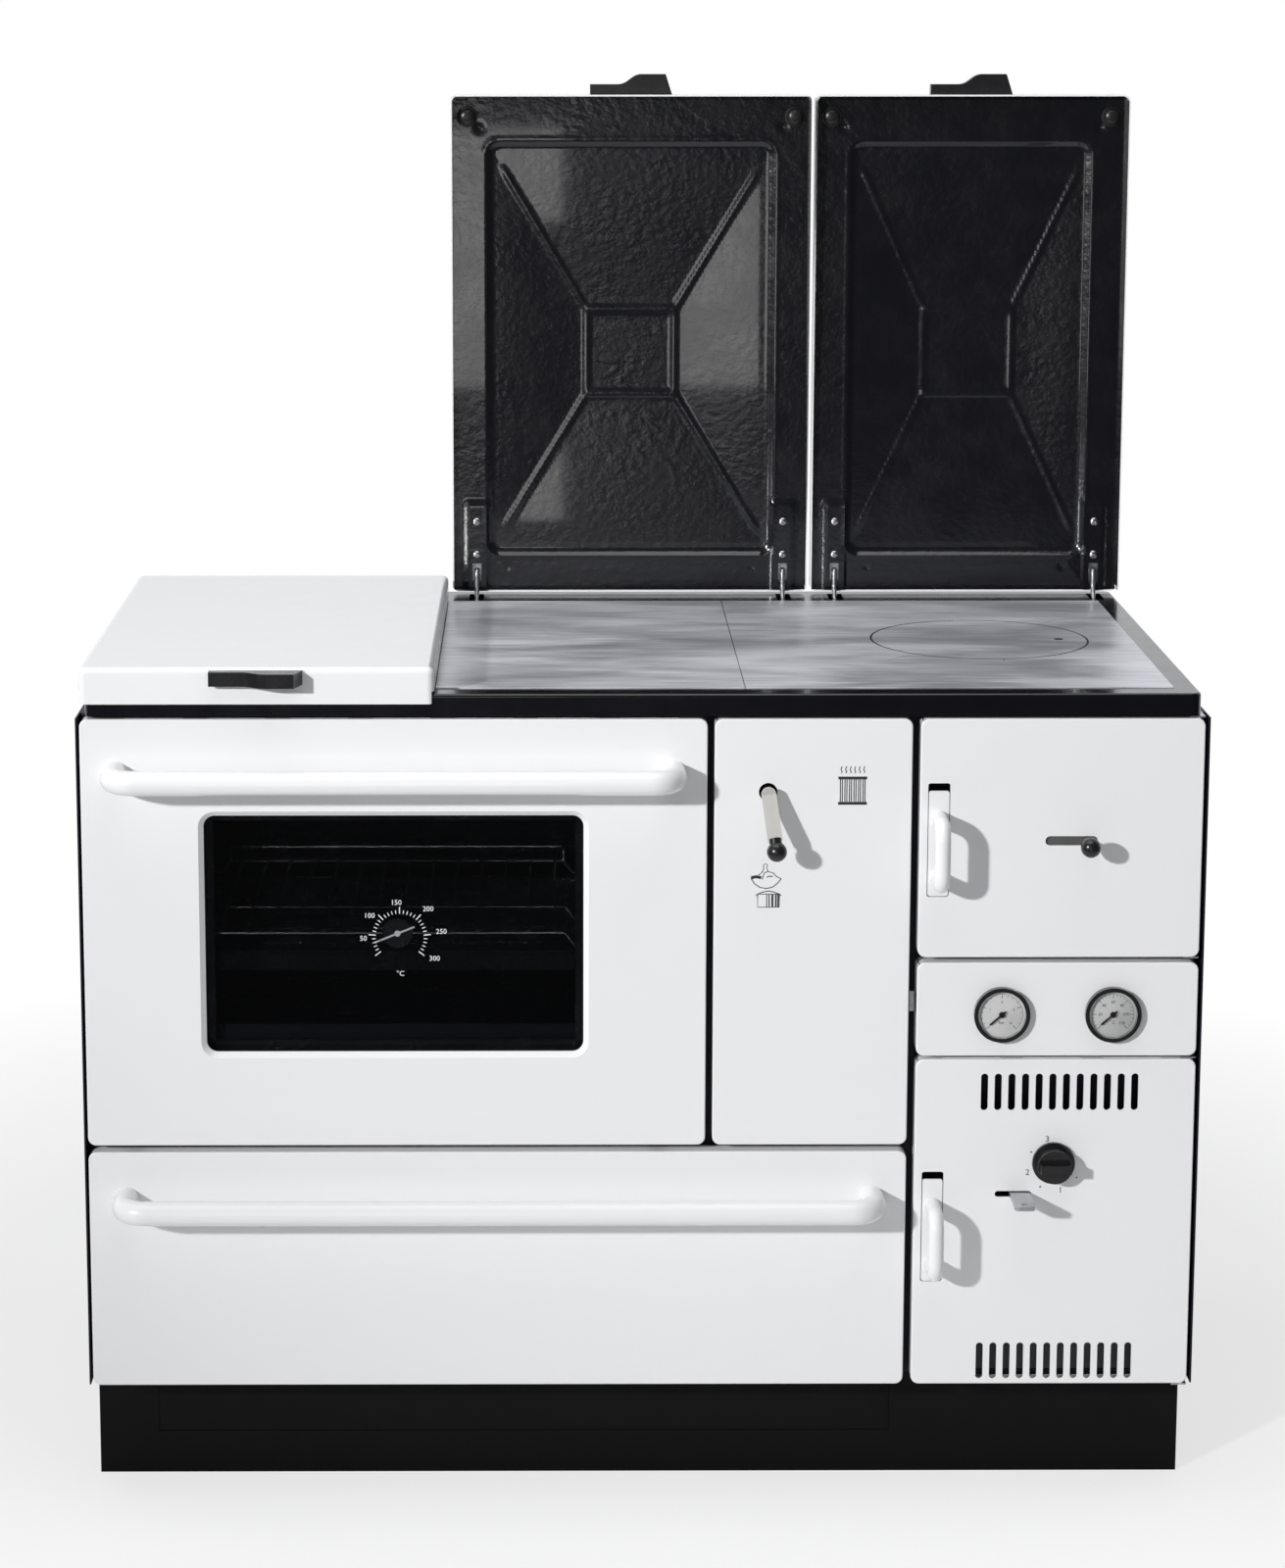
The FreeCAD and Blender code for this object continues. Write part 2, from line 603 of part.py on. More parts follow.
def lid_spans():
    """The left and right edge of each lid."""
    return (
        ("lid_left", "(lid_seam_left - lid_gap)"),
        ("(lid_seam_left + lid_gap)", "(lid_seam_right - lid_gap)"),
        ("(lid_seam_right + lid_gap)", "lid_right"),
    )


def plate_block(left, right):
    """A ground cast iron plate that drops into the frame's recess."""
    return box((left + " + plate_play", right + " - plate_play"),
               ("plate_front + plate_play", "plate_back - plate_play"), ("plate_low", "plate_top"))


def relief_slot(angle, inner, outer):
    """A narrow radial groove that lets the plate grow when it is hot."""
    slot = box((inner, outer), ("-relief_width / 2", "relief_width / 2"),
               ("plate_top - relief_depth", "plate_top + relief_depth"))
    turned = group(slot)
    centre = FreeCAD.Vector(dim("ring_x"), dim("ring_y"), 0)
    turned.Placement = FreeCAD.Placement(centre, FreeCAD.Rotation(FreeCAD.Vector(0, 0, 1), angle))
    return turned


def hob_plates():
    """Three plates; the right one has a hole over the fire with a ring dropped in it."""
    keep(plate_block("plates_left", "web_left"), "left_hob_plate")
    keep(plate_block("web_right", "plate_seam"), "centre_hob_plate")
    centre = ("ring_x", "ring_y")
    tools = [rod("z", centre, "ring_radius", ("ring_low", "plate_top + ledge")),
             rod("z", centre, "ring_seat", ("plate_low - ledge", "ring_low"))]
    tools += [relief_slot(angle, "relief_inner", "relief_outer") for angle in RELIEF_ANGLES]
    tools.append(relief_slot(RELIEF_SHORT_ANGLE, "relief_inner", "relief_short"))
    keep(cut(plate_block("plate_seam", "plates_right"), *tools), "right_hob_plate")
    disc = rod("z", centre, "ring_radius - gap", ("ring_low + gap", "plate_top"))
    lift = rod("z", ("ring_x + lift_offset", "ring_y"), "lift_hole", ("lift_floor", "plate_top + ledge"))
    keep(cut(disc, lift), "hob_ring")


# Lids ----------------------------------------------------------------------------------------------

def lid_grip(middle):
    """The lid's handle: low on its left, then an S-shaped rise to a flat that slants off."""
    half, shallow, deep = dim("grip_half"), dim("grip_shallow"), dim("grip_deep")
    step, rise, slant = dim("grip_step"), dim("grip_rise"), dim("grip_slant")
    front, low = dim("lid_front"), dim("grip_low")

    def place(x, reach):
        return FreeCAD.Vector(middle + x, front - reach, low)

    middle_rise = place((step + rise) / 2, (shallow + deep) / 2)
    along = FreeCAD.Vector(1, 0, 0)
    curve = Part.BSplineCurve()
    curve.interpolate(Points=[place(step, shallow), middle_rise, place(rise, deep)],
                      InitialTangent=along, FinalTangent=along)
    runs = [(place(-half, 0), place(-half, shallow)), (place(-half, shallow), place(step, shallow)),
            (place(rise, deep), place(slant, deep)), (place(slant, deep), place(half, 0)),
            (place(half, 0), place(-half, 0))]
    edges = [Part.LineSegment(start, end).toShape() for start, end in runs]
    edges.insert(2, curve.toShape())
    face = Part.Face(Part.Wire(edges))
    return feature(face.extrude(FreeCAD.Vector(0, 0, dim("grip_top") - low)))


def lid_arm(x):
    """A wire arm with an eye on its pin, and the block inside the lid that it is fixed to."""
    eye = cut(rod("x", ("hinge_y", "hinge_z"), "eye_outer", (x + " - eye_half", x + " + eye_half")),
              rod("x", ("hinge_y", "hinge_z"), "eye_inner", (x + " - eye_outer", x + " + eye_outer")))
    DOC.recompute()
    middle = eye.Shape.BoundBox.Center.x
    out = dim("eye_outer") - dim("arm_radius") / 2
    level, turn, end = dim("arm_level"), dim("arm_turn"), dim("arm_end")
    points = [(middle, dim("hinge_y") - out / 2, dim("hinge_z") + out), (middle, turn, level),
              (middle, end, level), (middle, end, dim("arm_socket"))]
    bar = feature(bent_bar(points, dim("arm_radius"), 2 * dim("arm_radius")))
    block = box((x + " - block_half", x + " + block_half"), ("block_front", "block_rear"),
                ("block_low", "block_top"))
    return fuse(eye, bar, block)


def lid(side, left, right, opened):
    """A pressed lid, built shut and, if it is open, turned up about its hinge."""
    upright_pose = FreeCAD.Placement(
        FreeCAD.Vector(), FreeCAD.Rotation(FreeCAD.Vector(1, 0, 0), -90),
        FreeCAD.Vector(0, dim("hinge_y"), dim("hinge_z")))
    pose = upright_pose if opened else None
    outside = rounded(rounded_block((left, right), ("lid_front", "lid_rear"),
                                    ("lid_low", "lid_top"), "lid_corner"), "lid_edge",
                      lambda edge: edge.BoundBox.ZMin > dim("lid_top") - SAME)
    inside = rounded(rounded_block((left + " + lid_sheet", right + " - lid_sheet"),
                                   ("lid_front + lid_sheet", "lid_rear - lid_sheet"),
                                   ("lid_low - lid_edge", "lid_top - lid_sheet"), "lid_corner"),
                     "lid_inner_edge",
                     lambda edge: edge.BoundBox.ZMin > dim("lid_top") - dim("lid_sheet") - SAME)
    low = ("lid_low - lid_edge", "lid_side_low")
    trims = [box((left + " + lid_sheet", right + " - lid_sheet"), ("plate_back", "hinge_y"),
                 ("lid_low - lid_edge", "lid_liner"))]
    if side != "left":
        trims.append(box((left + " - lid_edge", left + " + lid_corner"),
                         ("lid_front + lid_sheet", "hinge_y"), low))
    if side != "right":
        trims.append(box((right + " - lid_corner", right + " + lid_edge"),
                         ("lid_front + lid_sheet", "hinge_y"), low))
    keep(cut(outside, inside, *trims), side + "_lid_shell", pose)

    sheet = rounded_block((left + " + lid_sheet + gap", right + " - lid_sheet - gap"),
                          ("lid_front + lid_sheet + gap", "lid_rear - lid_sheet - gap"),
                          ("lid_liner", "lid_liner + lid_sheet"), "lid_corner")
    arms = ["(%s + hinge_inset)" % left, "(%s - hinge_inset)" % right]
    slots = [box((x + " - liner_slot_half", x + " + liner_slot_half"),
                 ("liner_slot_front", "liner_slot_rear"), ("lid_low", "lid_top")) for x in arms]
    keep(cut(sheet, *slots), side + "_lid_liner", pose)
    DOC.recompute()
    keep(lid_grip(outside.Shape.BoundBox.Center.x), side + "_lid_handle", pose)
    keep(group(*[lid_arm(x) for x in arms]), side + "_lid_hinges", pose)


# Oven ----------------------------------------------------------------------------------------------

def oven_liner():
    """The oven's enamelled box, open at the front, with two pairs of pressed runners."""
    outside = box(("oven_left", "oven_right"), ("frame_back", "oven_back"), ("oven_low", "oven_high"))
    inside = box(("oven_left + oven_wall", "oven_right - oven_wall"),
                 ("frame_back", "oven_back - oven_wall"),
                 ("oven_low + oven_wall", "oven_high - oven_wall"))
    runners = []
    for low, high in (("tray_runner_low", "tray_runner_high"), ("rack_runner_low", "rack_runner_high")):
        for side in (("oven_left + oven_wall", "oven_left + oven_wall + runner_reach"),
                     ("oven_right - oven_wall - runner_reach", "oven_right - oven_wall")):
            runners.append(box(side, ("frame_back + runner_reach", "oven_back - oven_wall"),
                               (low, high)))
    keep(fuse(cut(outside, inside), *runners), "oven_liner")


def oven_rack():
    """A wire rack: stepped bars across the oven with straight wires laid over them."""
    inner, outer = dim("oven_wall"), dim("gap")
    left = dim("oven_left") + inner + outer
    right = dim("oven_right") - inner - outer
    drop, bend = dim("rack_drop"), dim("rack_bend")

    def stepped_bar(y, level):
        low = level - drop
        return bent_bar([(left, y, low), (dim("rack_left") - bend, y, low),
                         (dim("rack_left"), y, level), (dim("rack_right"), y, level),
                         (dim("rack_right") + bend, y, low), (right, y, low)],
                        dim("rack_bar"), 2 * dim("rack_bar"))

    level = dim("rack_level")
    bars = [feature(stepped_bar(dim(y), level)) for y in ("rack_front", "rack_middle", "rack_back")]
    stop = feature(bent_bar([
        (dim("rack_left"), dim("rack_back"), level),
        (dim("rack_left"), dim("rack_back"), dim("rack_stop")),
        (dim("rack_right"), dim("rack_back"), dim("rack_stop")),
        (dim("rack_right"), dim("rack_back"), level)], dim("rack_bar"), 2 * dim("rack_bar")))
    wires = []
    for number in range(RACK_WIRES):
        x = "rack_first + %d * rack_pitch" % number
        wires.append(rod("y", (x, "rack_level + rack_bar"), "rack_wire",
                         ("rack_front - rack_bar", "rack_back + rack_bar")))
    keep(fuse(*bars, stop, *wires), "oven_rack")


def baking_tray():
    """An enamelled tray with a rim that slides on the lower runners."""
    rim = box(("oven_left + oven_wall + gap", "oven_right - oven_wall - gap"),
              ("tray_front", "tray_back"), ("tray_runner_high", "tray_runner_high + tray_rim"))
    body = box(("tray_left", "tray_right"), ("tray_front + tray_lip", "tray_back - tray_lip"),
               ("tray_floor", "tray_runner_high"))
    hollow = box(("tray_left + tray_rim", "tray_right - tray_rim"),
                 ("tray_front + tray_lip + tray_rim", "tray_back - tray_lip - tray_rim"),
                 ("tray_floor + tray_rim", "tray_runner_high + tray_rim"))
    keep(cut(fuse(rim, body), hollow), "baking_tray")


def lug_places():
    """Where the oven door's two hinge lugs stand."""
    return ("(left_edge + lug_inset)", "(oven_door_right - lug_inset)")


def around_window(edge):
    """Whether an edge lies in the door's face on the outline of its window."""
    bounds = edge.BoundBox
    return (abs(bounds.YMin - dim("door_face")) < SAME and abs(bounds.YMax - dim("door_face")) < SAME
            and bounds.XMin > dim("window_left") - dim("gap")
            and bounds.XMax < dim("window_right") + dim("gap")
            and bounds.ZMin > dim("window_low") - dim("gap")
            and bounds.ZMax < dim("window_high") + dim("gap"))


def oven_door():
    """The drop-down door: skin, inner sheet with its hinge cheeks, two panes and the thermometer."""
    skin = PressedFront(("left_edge", "oven_door_right"), ("oven_door_low", "door_top"), "skin_depth")
    DOC.recompute()
    rim = box(("window_left - window_margin", "window_right + window_margin"),
              ("door_face + sheet", "door_face + window_depth"),
              ("window_low - window_margin", "window_high + window_margin"))
    opening = rounded(box(("window_left", "window_right"),
                          ("door_face - skin_depth", "door_face + skin_depth"),
                          ("window_low", "window_high")), "window_corner",
                      lambda edge: runs_along(edge, FreeCAD.Vector(0, 1, 0)))
    skin.body.setExpression(".Placement.Base.y", ref("door_face"))
    vents = []
    for number in range(DOOR_VENTS):
        start = "vent_first + %d * vent_pitch" % number
        vents.append(box((start, start + " + vent_length"), ("vent_y", "vent_y + vent_width"),
                         ("door_top - window_depth", "door_top + window_depth")))
    notches = [box((x + " - lug_half - cheek_gap", x + " + lug_half + cheek_gap"),
                   ("door_face + sheet", "frame_face"), ("oven_door_low - sheet", "notch_top"))
               for x in lug_places()]
    shell = cut(fuse(skin.body, rim), opening, *vents, *notches)
    keep(rounded(shell, "window_bevel", around_window, "Part::Chamfer"), "oven_door_skin")

    back = ("door_face + skin_depth", "door_face + skin_depth + inner_sheet")
    inner = box(("left_edge + inner_margin", "oven_door_right - inner_margin"), back,
                ("oven_door_low + inner_margin", "door_top - inner_margin"))
    inner_hole = ("window_left + inner_window", "window_right - inner_window")
    inner_rise = ("window_low + inner_window", "window_high - inner_window")
    inner = cut(inner, box(inner_hole, ("door_face", "frame_face"), inner_rise), *notches)
    cheeks = []
    for x in lug_places():
        for side in ("-", "+"):
            near = "%s %s lug_half %s cheek_gap" % (x, side, side)
            far = "%s %s cheek" % (near, side)
            span = (far, near) if side == "-" else (near, far)
            plate = box(span, ("door_face + sheet", "door_face + skin_depth"),
                        ("oven_door_low + sheet", "cheek_top"))
            bore = rod("x", ("oven_axis_y", "oven_axis_z"), "oven_pin + running",
                       (far + " - cheek", far + " + 2 * cheek") if side == "-"
                       else (near + " - cheek", near + " + 2 * cheek"))
            cheeks.append(cut(plate, bore))
    keep(fuse(inner, *cheeks), "oven_door_liner")

    outer_pane = box(("window_left - pane_margin", "window_right + pane_margin"),
                     ("door_face + window_depth", "door_face + window_depth + pane"),
                     ("window_low - pane_margin", "window_high + pane_margin"))
    inner_pane = box(inner_hole, ("boss_back", "door_face + skin_depth + inner_sheet"), inner_rise)
    stem_hole = rod("y", ("boss_x", "boss_z"), "stem_radius", ("boss_front", "frame_face"))
    keep(group(outer_pane, cut(inner_pane, stem_hole)), "oven_door_glass")

    boss = fuse(rod("y", ("boss_x", "boss_z"), "boss_radius", ("boss_front", "boss_back")),
                rod("y", ("boss_x", "boss_z"), "stem_radius", ("boss_back", "stem_end")))
    spindle_hole = rod("y", ("boss_x", "boss_z"), "spindle + running",
                       ("boss_front - pane", "boss_back + pane"))
    keep(cut(boss, spindle_hole), "oven_thermometer")
    keep(pointer("boss_x", "boss_z", "boss_front - gap - pane / 4", "boss_front - gap",
                 "boss_back + pane / 2", "oven_needle_length", "oven_needle_tail",
                 THERMOMETER_REST), "thermometer_needle")


def oven_hinge_lugs():
    """The fixed lugs and pins that the oven door turns on."""
    lugs = []
    for x in lug_places():
        lug = box((x + " - lug_half", x + " + lug_half"), ("oven_axis_y - lug_half", "frame_face"),
                  ("oven_axis_z - lug_half", "oven_axis_z + lug_half"))
        pin = rod("x", ("oven_axis_y", "oven_axis_z"), "oven_pin",
                  (x + " - lug_half - cheek_gap - cheek", x + " + lug_half + cheek_gap + cheek"))
        lugs.append(fuse(lug, pin))
    return lugs


def towel_rail(label, left, right, height):
    """A tube handle whose two ends turn back to the front that it is fixed to."""
    face, stand = dim("door_face"), dim("rail_stand")
    radius, bend, z = dim("rail_radius"), dim("rail_bend"), dim(height)
    first, last = dim(left) + radius, dim(right) - radius
    points = [(first, face, z), (first, face - stand, z), (last, face - stand, z), (last, face, z)]
    bore = feature(bent_bar(points, radius - dim("rail_wall"), bend))
    keep(cut(feature(bent_bar(points, radius, bend)), bore), label)


# Instruments ---------------------------------------------------------------------------------------

def pointer(x, z, front, back, tail_end, length, tail, angle):
    """A needle with a hub and a spindle, built pointing right and turned to its rest angle."""
    blade = box(("-" + tail, length), (front, back), ("-needle_width / 2", "needle_width / 2"))
    hub = rod("y", ("0", "0"), "needle_hub", (front, back))
    spindle = rod("y", ("0", "0"), "spindle", (back, tail_end))
    needle = fuse(blade, hub, spindle)
    needle.Placement.Rotation = FreeCAD.Rotation(FreeCAD.Vector(0, 1, 0), -angle)
    needle.setExpression(".Placement.Base.x", ref(x))
    needle.setExpression(".Placement.Base.z", ref(z))
    return needle


def gauges():
    """Two round gauges: a bezelled can each, and a needle that turns in it."""
    cans = []
    for x in ("gauge_left_x", "gauge_right_x"):
        centre = (x, "gauge_z")
        bezel = rod("y", centre, "bezel_radius", ("bezel_front", "door_face"))
        can = rod("y", centre, "can_radius", ("door_face", "can_back"))
        hollow = rod("y", centre, "dial_radius", ("bezel_front - sheet", "dial_y"))
        bore = rod("y", centre, "spindle + running", ("dial_y - sheet", "dial_y + skin_depth"))
        cans.append(cut(fuse(bezel, can), hollow, bore))
    keep(group(*cans), "gauge_cases")
    for label, x in (("pressure_needle", "gauge_left_x"), ("temperature_needle", "gauge_right_x")):
        keep(pointer(x, "gauge_z", "needle_front", "needle_back", "dial_y + skin_depth / 2",
                     "needle_length", "needle_tail", dim("gauge_rest")), label)


# Flue lever ----------------------------------------------------------------------------------------

def flue_lever():
    """The lever with its ball knob, and the shaft and flap that it turns in the flue box."""
    tilt = FreeCAD.Placement(
        FreeCAD.Vector(), FreeCAD.Rotation(FreeCAD.Vector(0, 1, 0), -dim("lever_tilt")),
        FreeCAD.Vector(dim("lever_x"), 0, dim("lever_z")))
    middle = (dim("lever_front") + dim("lever_back")) / 2
    lean = FreeCAD.Placement(
        FreeCAD.Vector(), FreeCAD.Rotation(FreeCAD.Vector(1, 0, 0), -dim("lever_lean")),
        FreeCAD.Vector(0, middle, dim("lever_z")))
    centre = ("lever_x", "lever_z")
    bar = box(("lever_x - lever_half", "lever_x + lever_half"), ("lever_front", "lever_back"),
              ("lever_z - lever_length", "lever_z"))
    head = rod("y", centre, "lever_half", ("lever_front", "lever_back"))
    leaning = group(bar)
    leaning.Placement = lean
    keep(fuse(leaning, head), "flue_lever", tilt)
    middle_y = "(lever_front + lever_back) / 2"
    knob = fuse(ball(("lever_x", middle_y, "lever_z - knob_reach"), "knob_radius"),
                rod("z", ("lever_x", middle_y), "knob_neck",
                    ("lever_z - knob_reach", "lever_z - knob_seat")))
    socket = box(("lever_x - lever_half", "lever_x + lever_half"), ("lever_front", "lever_back"),
                 ("lever_z - lever_length", "lever_z"))
    keep(cut(knob, socket), "flue_lever_knob", tilt.multiply(lean))
    shaft = rod("y", centre, "shaft_radius", ("lever_back", "flap_back"))
    plate = box(("lever_x - flap_plate / 2", "lever_x + flap_plate / 2"),
                ("flap_front", "flap_back"), ("lever_z - flap_drop", "lever_z"))
    keep(fuse(shaft, plate), "flue_flap", tilt)


def flue_box():
    """The smoke chamber behind the middle panel, with the round collar that leaves the back."""
    outside = box(("flue_left", "boiler_left"), ("flue_front", "flue_back"), ("flue_low", "flue_high"))
    inside = box(("flue_left + flue_wall", "boiler_left - flue_wall"),
                 ("flue_front + flue_wall", "flue_back - flue_wall"),
                 ("flue_low + flue_wall", "flue_high - flue_wall"))
    collar = rod("y", ("collar_x", "collar_z"), "collar_radius", ("flue_back - flue_wall", "collar_end"))
    bore = rod("y", ("collar_x", "collar_z"), "collar_bore",
               ("flue_back - 2 * flue_wall", "collar_end + flue_wall"))
    shaft = rod("y", ("lever_x", "lever_z"), "shaft_radius + running",
                ("flue_front - flue_wall", "flue_front + 2 * flue_wall"))
    port = box(("boiler_left - 2 * flue_wall", "boiler_left + flue_wall"),
               ("port_front", "port_back"), ("port_low", "port_high"))
    soot = box(("flue_left - flue_wall", "flue_left + 2 * flue_wall"), ("port_front", "port_back"),
               ("soot_low", "soot_high"))
    hollow = cut(outside, inside)
    keep(cut(fuse(hollow, collar), bore, shaft, port, soot), "flue_box")


# Fire and boiler -----------------------------------------------------------------------------------

def boiler_body():
    """The welded boiler: firebox over ash pit, with a water space round three sides."""
    outside = box(("boiler_left", "boiler_right"), ("frame_back", "boiler_back"),
                  ("pan_top", "boiler_top"))
    firebox = box(("box_left", "box_right"), ("box_front", "box_back"), ("grate_seat", "boiler_top"))
    throat = box(("throat_left", "throat_right"), ("frame_back", "box_front"),
                 ("throat_low", "throat_high"))
    seat = box(("throat_left", "throat_right"), ("box_front + grate_margin",
               "box_back - grate_margin"), ("ash_roof", "grate_seat"))
    ash_pit = box(("ash_left", "ash_right"), ("frame_back", "box_back"), ("ash_floor", "ash_roof"))
    water = box(("boiler_left + water_wall", "boiler_right - water_wall"),
                ("box_front", "boiler_back - water_wall"), ("water_low", "water_high"))
    core = box(("box_left - water_wall", "box_right + water_wall"),
               ("box_front", "box_back + water_wall"), ("water_low", "water_high"))
    port = box(("boiler_left", "box_left"), ("port_front", "box_back"), ("port_low", "port_high"))
    tools = [firebox, throat, seat, ash_pit, cut(water, core), port]
    for x, z, bore in pipe_bores():
        tools.append(rod("y", (x, z), bore, ("boiler_back - 2 * water_wall", "boiler_back")))
    keep(cut(outside, *tools), "boiler_body")


def pipe_bores():
    """The two heating connections, which open into the water space."""
    return (("pipe_x", "flow_z", "pipe_bore"), ("pipe_x", "return_z", "pipe_bore"))


def pipe_sockets():
    """Flow and return sockets and the two smaller ones of the safety coil."""
    sockets = []
    for (x, z, radius), bore in zip(pipe_places(), ("pipe_bore",) * 2 + ("coil_bore",) * 2):
        tube = rod("y", (x, z), radius, ("boiler_back", "pipe_end"))
        sockets.append(cut(tube, rod("y", (x, z), bore, ("boiler_back", "pipe_end"))))
    keep(group(*sockets), "pipe_sockets")


def firebricks():
    """Four loose bricks that line the firebox above the grate."""
    rise = ("brick_low", "brick_high")
    left = box(("box_left", "box_left + brick"), ("box_front", "box_back"), rise)
    right = box(("box_right - brick", "box_right"), ("box_front", "box_back"), rise)
    across = ("box_left + brick", "box_right - brick")
    front = box(across, ("box_front", "box_front + brick"), rise)
    back = box(across, ("box_back - brick", "box_back"), rise)
    keep(group(left, right, front, back), "firebricks")


def grate():
    """The slotted grate that slides sideways on its seat, and the flat bar that shakes it."""
    slab = box(("grate_left", "grate_right"), ("grate_front", "grate_back"),
               ("grate_seat + gap", "grate_top"))
    slots = []
    for number in range(GRATE_SLOTS):
        start = "grate_left + grate_slot_inset + %d * grate_slot_pitch" % number
        slots.append(box((start, start + " + grate_slot"),
                         ("grate_front + grate_slot_inset", "bar_back - grate_slot_inset"),
                         ("ash_roof", "grate_top + grate_slot")))
        slots.append(box((start, start + " + grate_slot"),
                         ("bar_back + grate_slot_inset", "grate_back - grate_slot_inset"),
                         ("ash_roof", "grate_top + grate_slot")))
    keep(cut(slab, *slots), "riddling_grate")
    flat = rounded(box(("bar_left", "bar_right"), ("bar_front", "bar_back"), ("bar_low", "bar_high")),
                   "bar_tip", lambda edge: upright(edge) and edge.BoundBox.YMax < dim("bar_eye_y"))
    eye = rod("z", ("(bar_left + bar_right) / 2", "bar_eye_y"), "bar_eye",
              ("bar_low - bar_eye", "bar_high + bar_eye"))
    post = box(("bar_left + sheet", "bar_right - sheet"), ("bar_back - bar_post", "bar_back"),
               ("bar_high", "grate_seat + gap"))
    keep(fuse(cut(flat, eye), post), "riddling_bar")


def open_tray(label, x, y, floor, rim, sheet):
    """A sheet-metal box that is open at the top."""
    outside = box(x, y, (floor, rim))
    inside = box(("%s + %s" % (x[0], sheet), "%s - %s" % (x[1], sheet)),
                 ("%s + %s" % (y[0], sheet), "%s - %s" % (y[1], sheet)),
                 ("%s + %s" % (floor, sheet), rim))
    keep(cut(outside, inside), label)


# Hung doors ----------------------------------------------------------------------------------------

def pin_bores(low, high):
    """The holes in a hung door's top and bottom edges for its two pins."""
    return rod("z", ("pin_x", "pin_y"), "pin_radius + running", (low + " - sheet", high + " + sheet"))


def inner_door(label, low, high, holes=()):
    """The door's inner casting, held off the skin by four posts."""
    slab = box(("inner_left", "inner_right"), ("inner_front", "inner_back"), (low, high))
    posts = []
    for x in ("inner_left + post_inset", "inner_right - post_inset"):
        for z in (low + " + post_inset", high + " - post_inset"):
            posts.append(rod("y", (x, z), "post_radius", ("door_face + sheet", "inner_front")))
    whole = fuse(slab, *posts)
    keep(cut(whole, *holes) if holes else whole, label)


def loop_handle(label, slot_low):
    """The latch: a plate that lifts in the door's slot, with a looped bar and a catch tongue."""
    plate = box(("handle_slot_left + plate_side", "handle_slot_right - plate_side"),
                ("door_face", "door_face + sheet"),
                ("%s + plate_side" % slot_low, "%s + plate_side + plate_height" % slot_low))
    plate = rounded(plate, "handle_slot_corner",
                    lambda edge: runs_along(edge, FreeCAD.Vector(0, 1, 0)))
    middle = "(handle_slot_left + handle_slot_right) / 2"
    tongue_z = "%s + plate_height / 2" % slot_low
    tongue = box((middle + " - tongue_half", middle + " + tongue_half"),
                 ("door_face + sheet", "inner_back"),
                 (tongue_z + " - tongue_thick", tongue_z + " + tongue_thick"))
    x = (dim("handle_slot_left") + dim("handle_slot_right")) / 2
    face, stand = dim("door_face"), dim("loop_stand")
    top = dim(slot_low) + dim("plate_height") - dim("loop_top")
    low = top - dim("loop_drop")
    points = [(x, face, top), (x, face - stand, top), (x, face - stand, low), (x, face, low)]
    bar = feature(bent_bar(points, dim("loop_radius"), dim("loop_bend")))
    keep(fuse(plate, tongue, bar), label)


def fire_door():
    """The fire door: skin, inner casting, lifting latch and the sliding air shutter."""
    x = ("column_left", "right_edge")
    skin = PressedFront(x, ("fire_door_low", "door_top"), "skin_depth")
    skin.window(("handle_slot_left", "handle_slot_right"), ("fire_slot_low", "fire_slot_high"),
                "handle_slot_corner")
    skin.window(("slide_left", "slide_right"),
                ("slide_z - slide_height / 2", "slide_z + slide_height / 2"), "slide_end")
    skin.body.setExpression(".Placement.Base.y", ref("door_face"))
    keep(cut(skin.body, pin_bores("fire_door_low", "door_top")), "fire_door_skin")
    inner_door("fire_door_inner", "fire_door_low + inner_edge", "door_top - inner_edge")
    loop_handle("fire_door_handle", "fire_slot_low")
    plate = box(("slide_plate_left", "slide_plate_right"),
                ("door_face + sheet + gap", "door_face + sheet + gap + slide_thick"),
                ("slide_z - slide_plate_half", "slide_z + slide_plate_half"))
    pin = rod("y", ("slide_knob_x", "slide_z"), "slide_pin",
              ("slide_knob_y", "door_face + sheet + gap"))
    keep(fuse(plate, pin, ball(("slide_knob_x", "slide_knob_y", "slide_z"), "slide_knob")),
         "fire_air_slide")


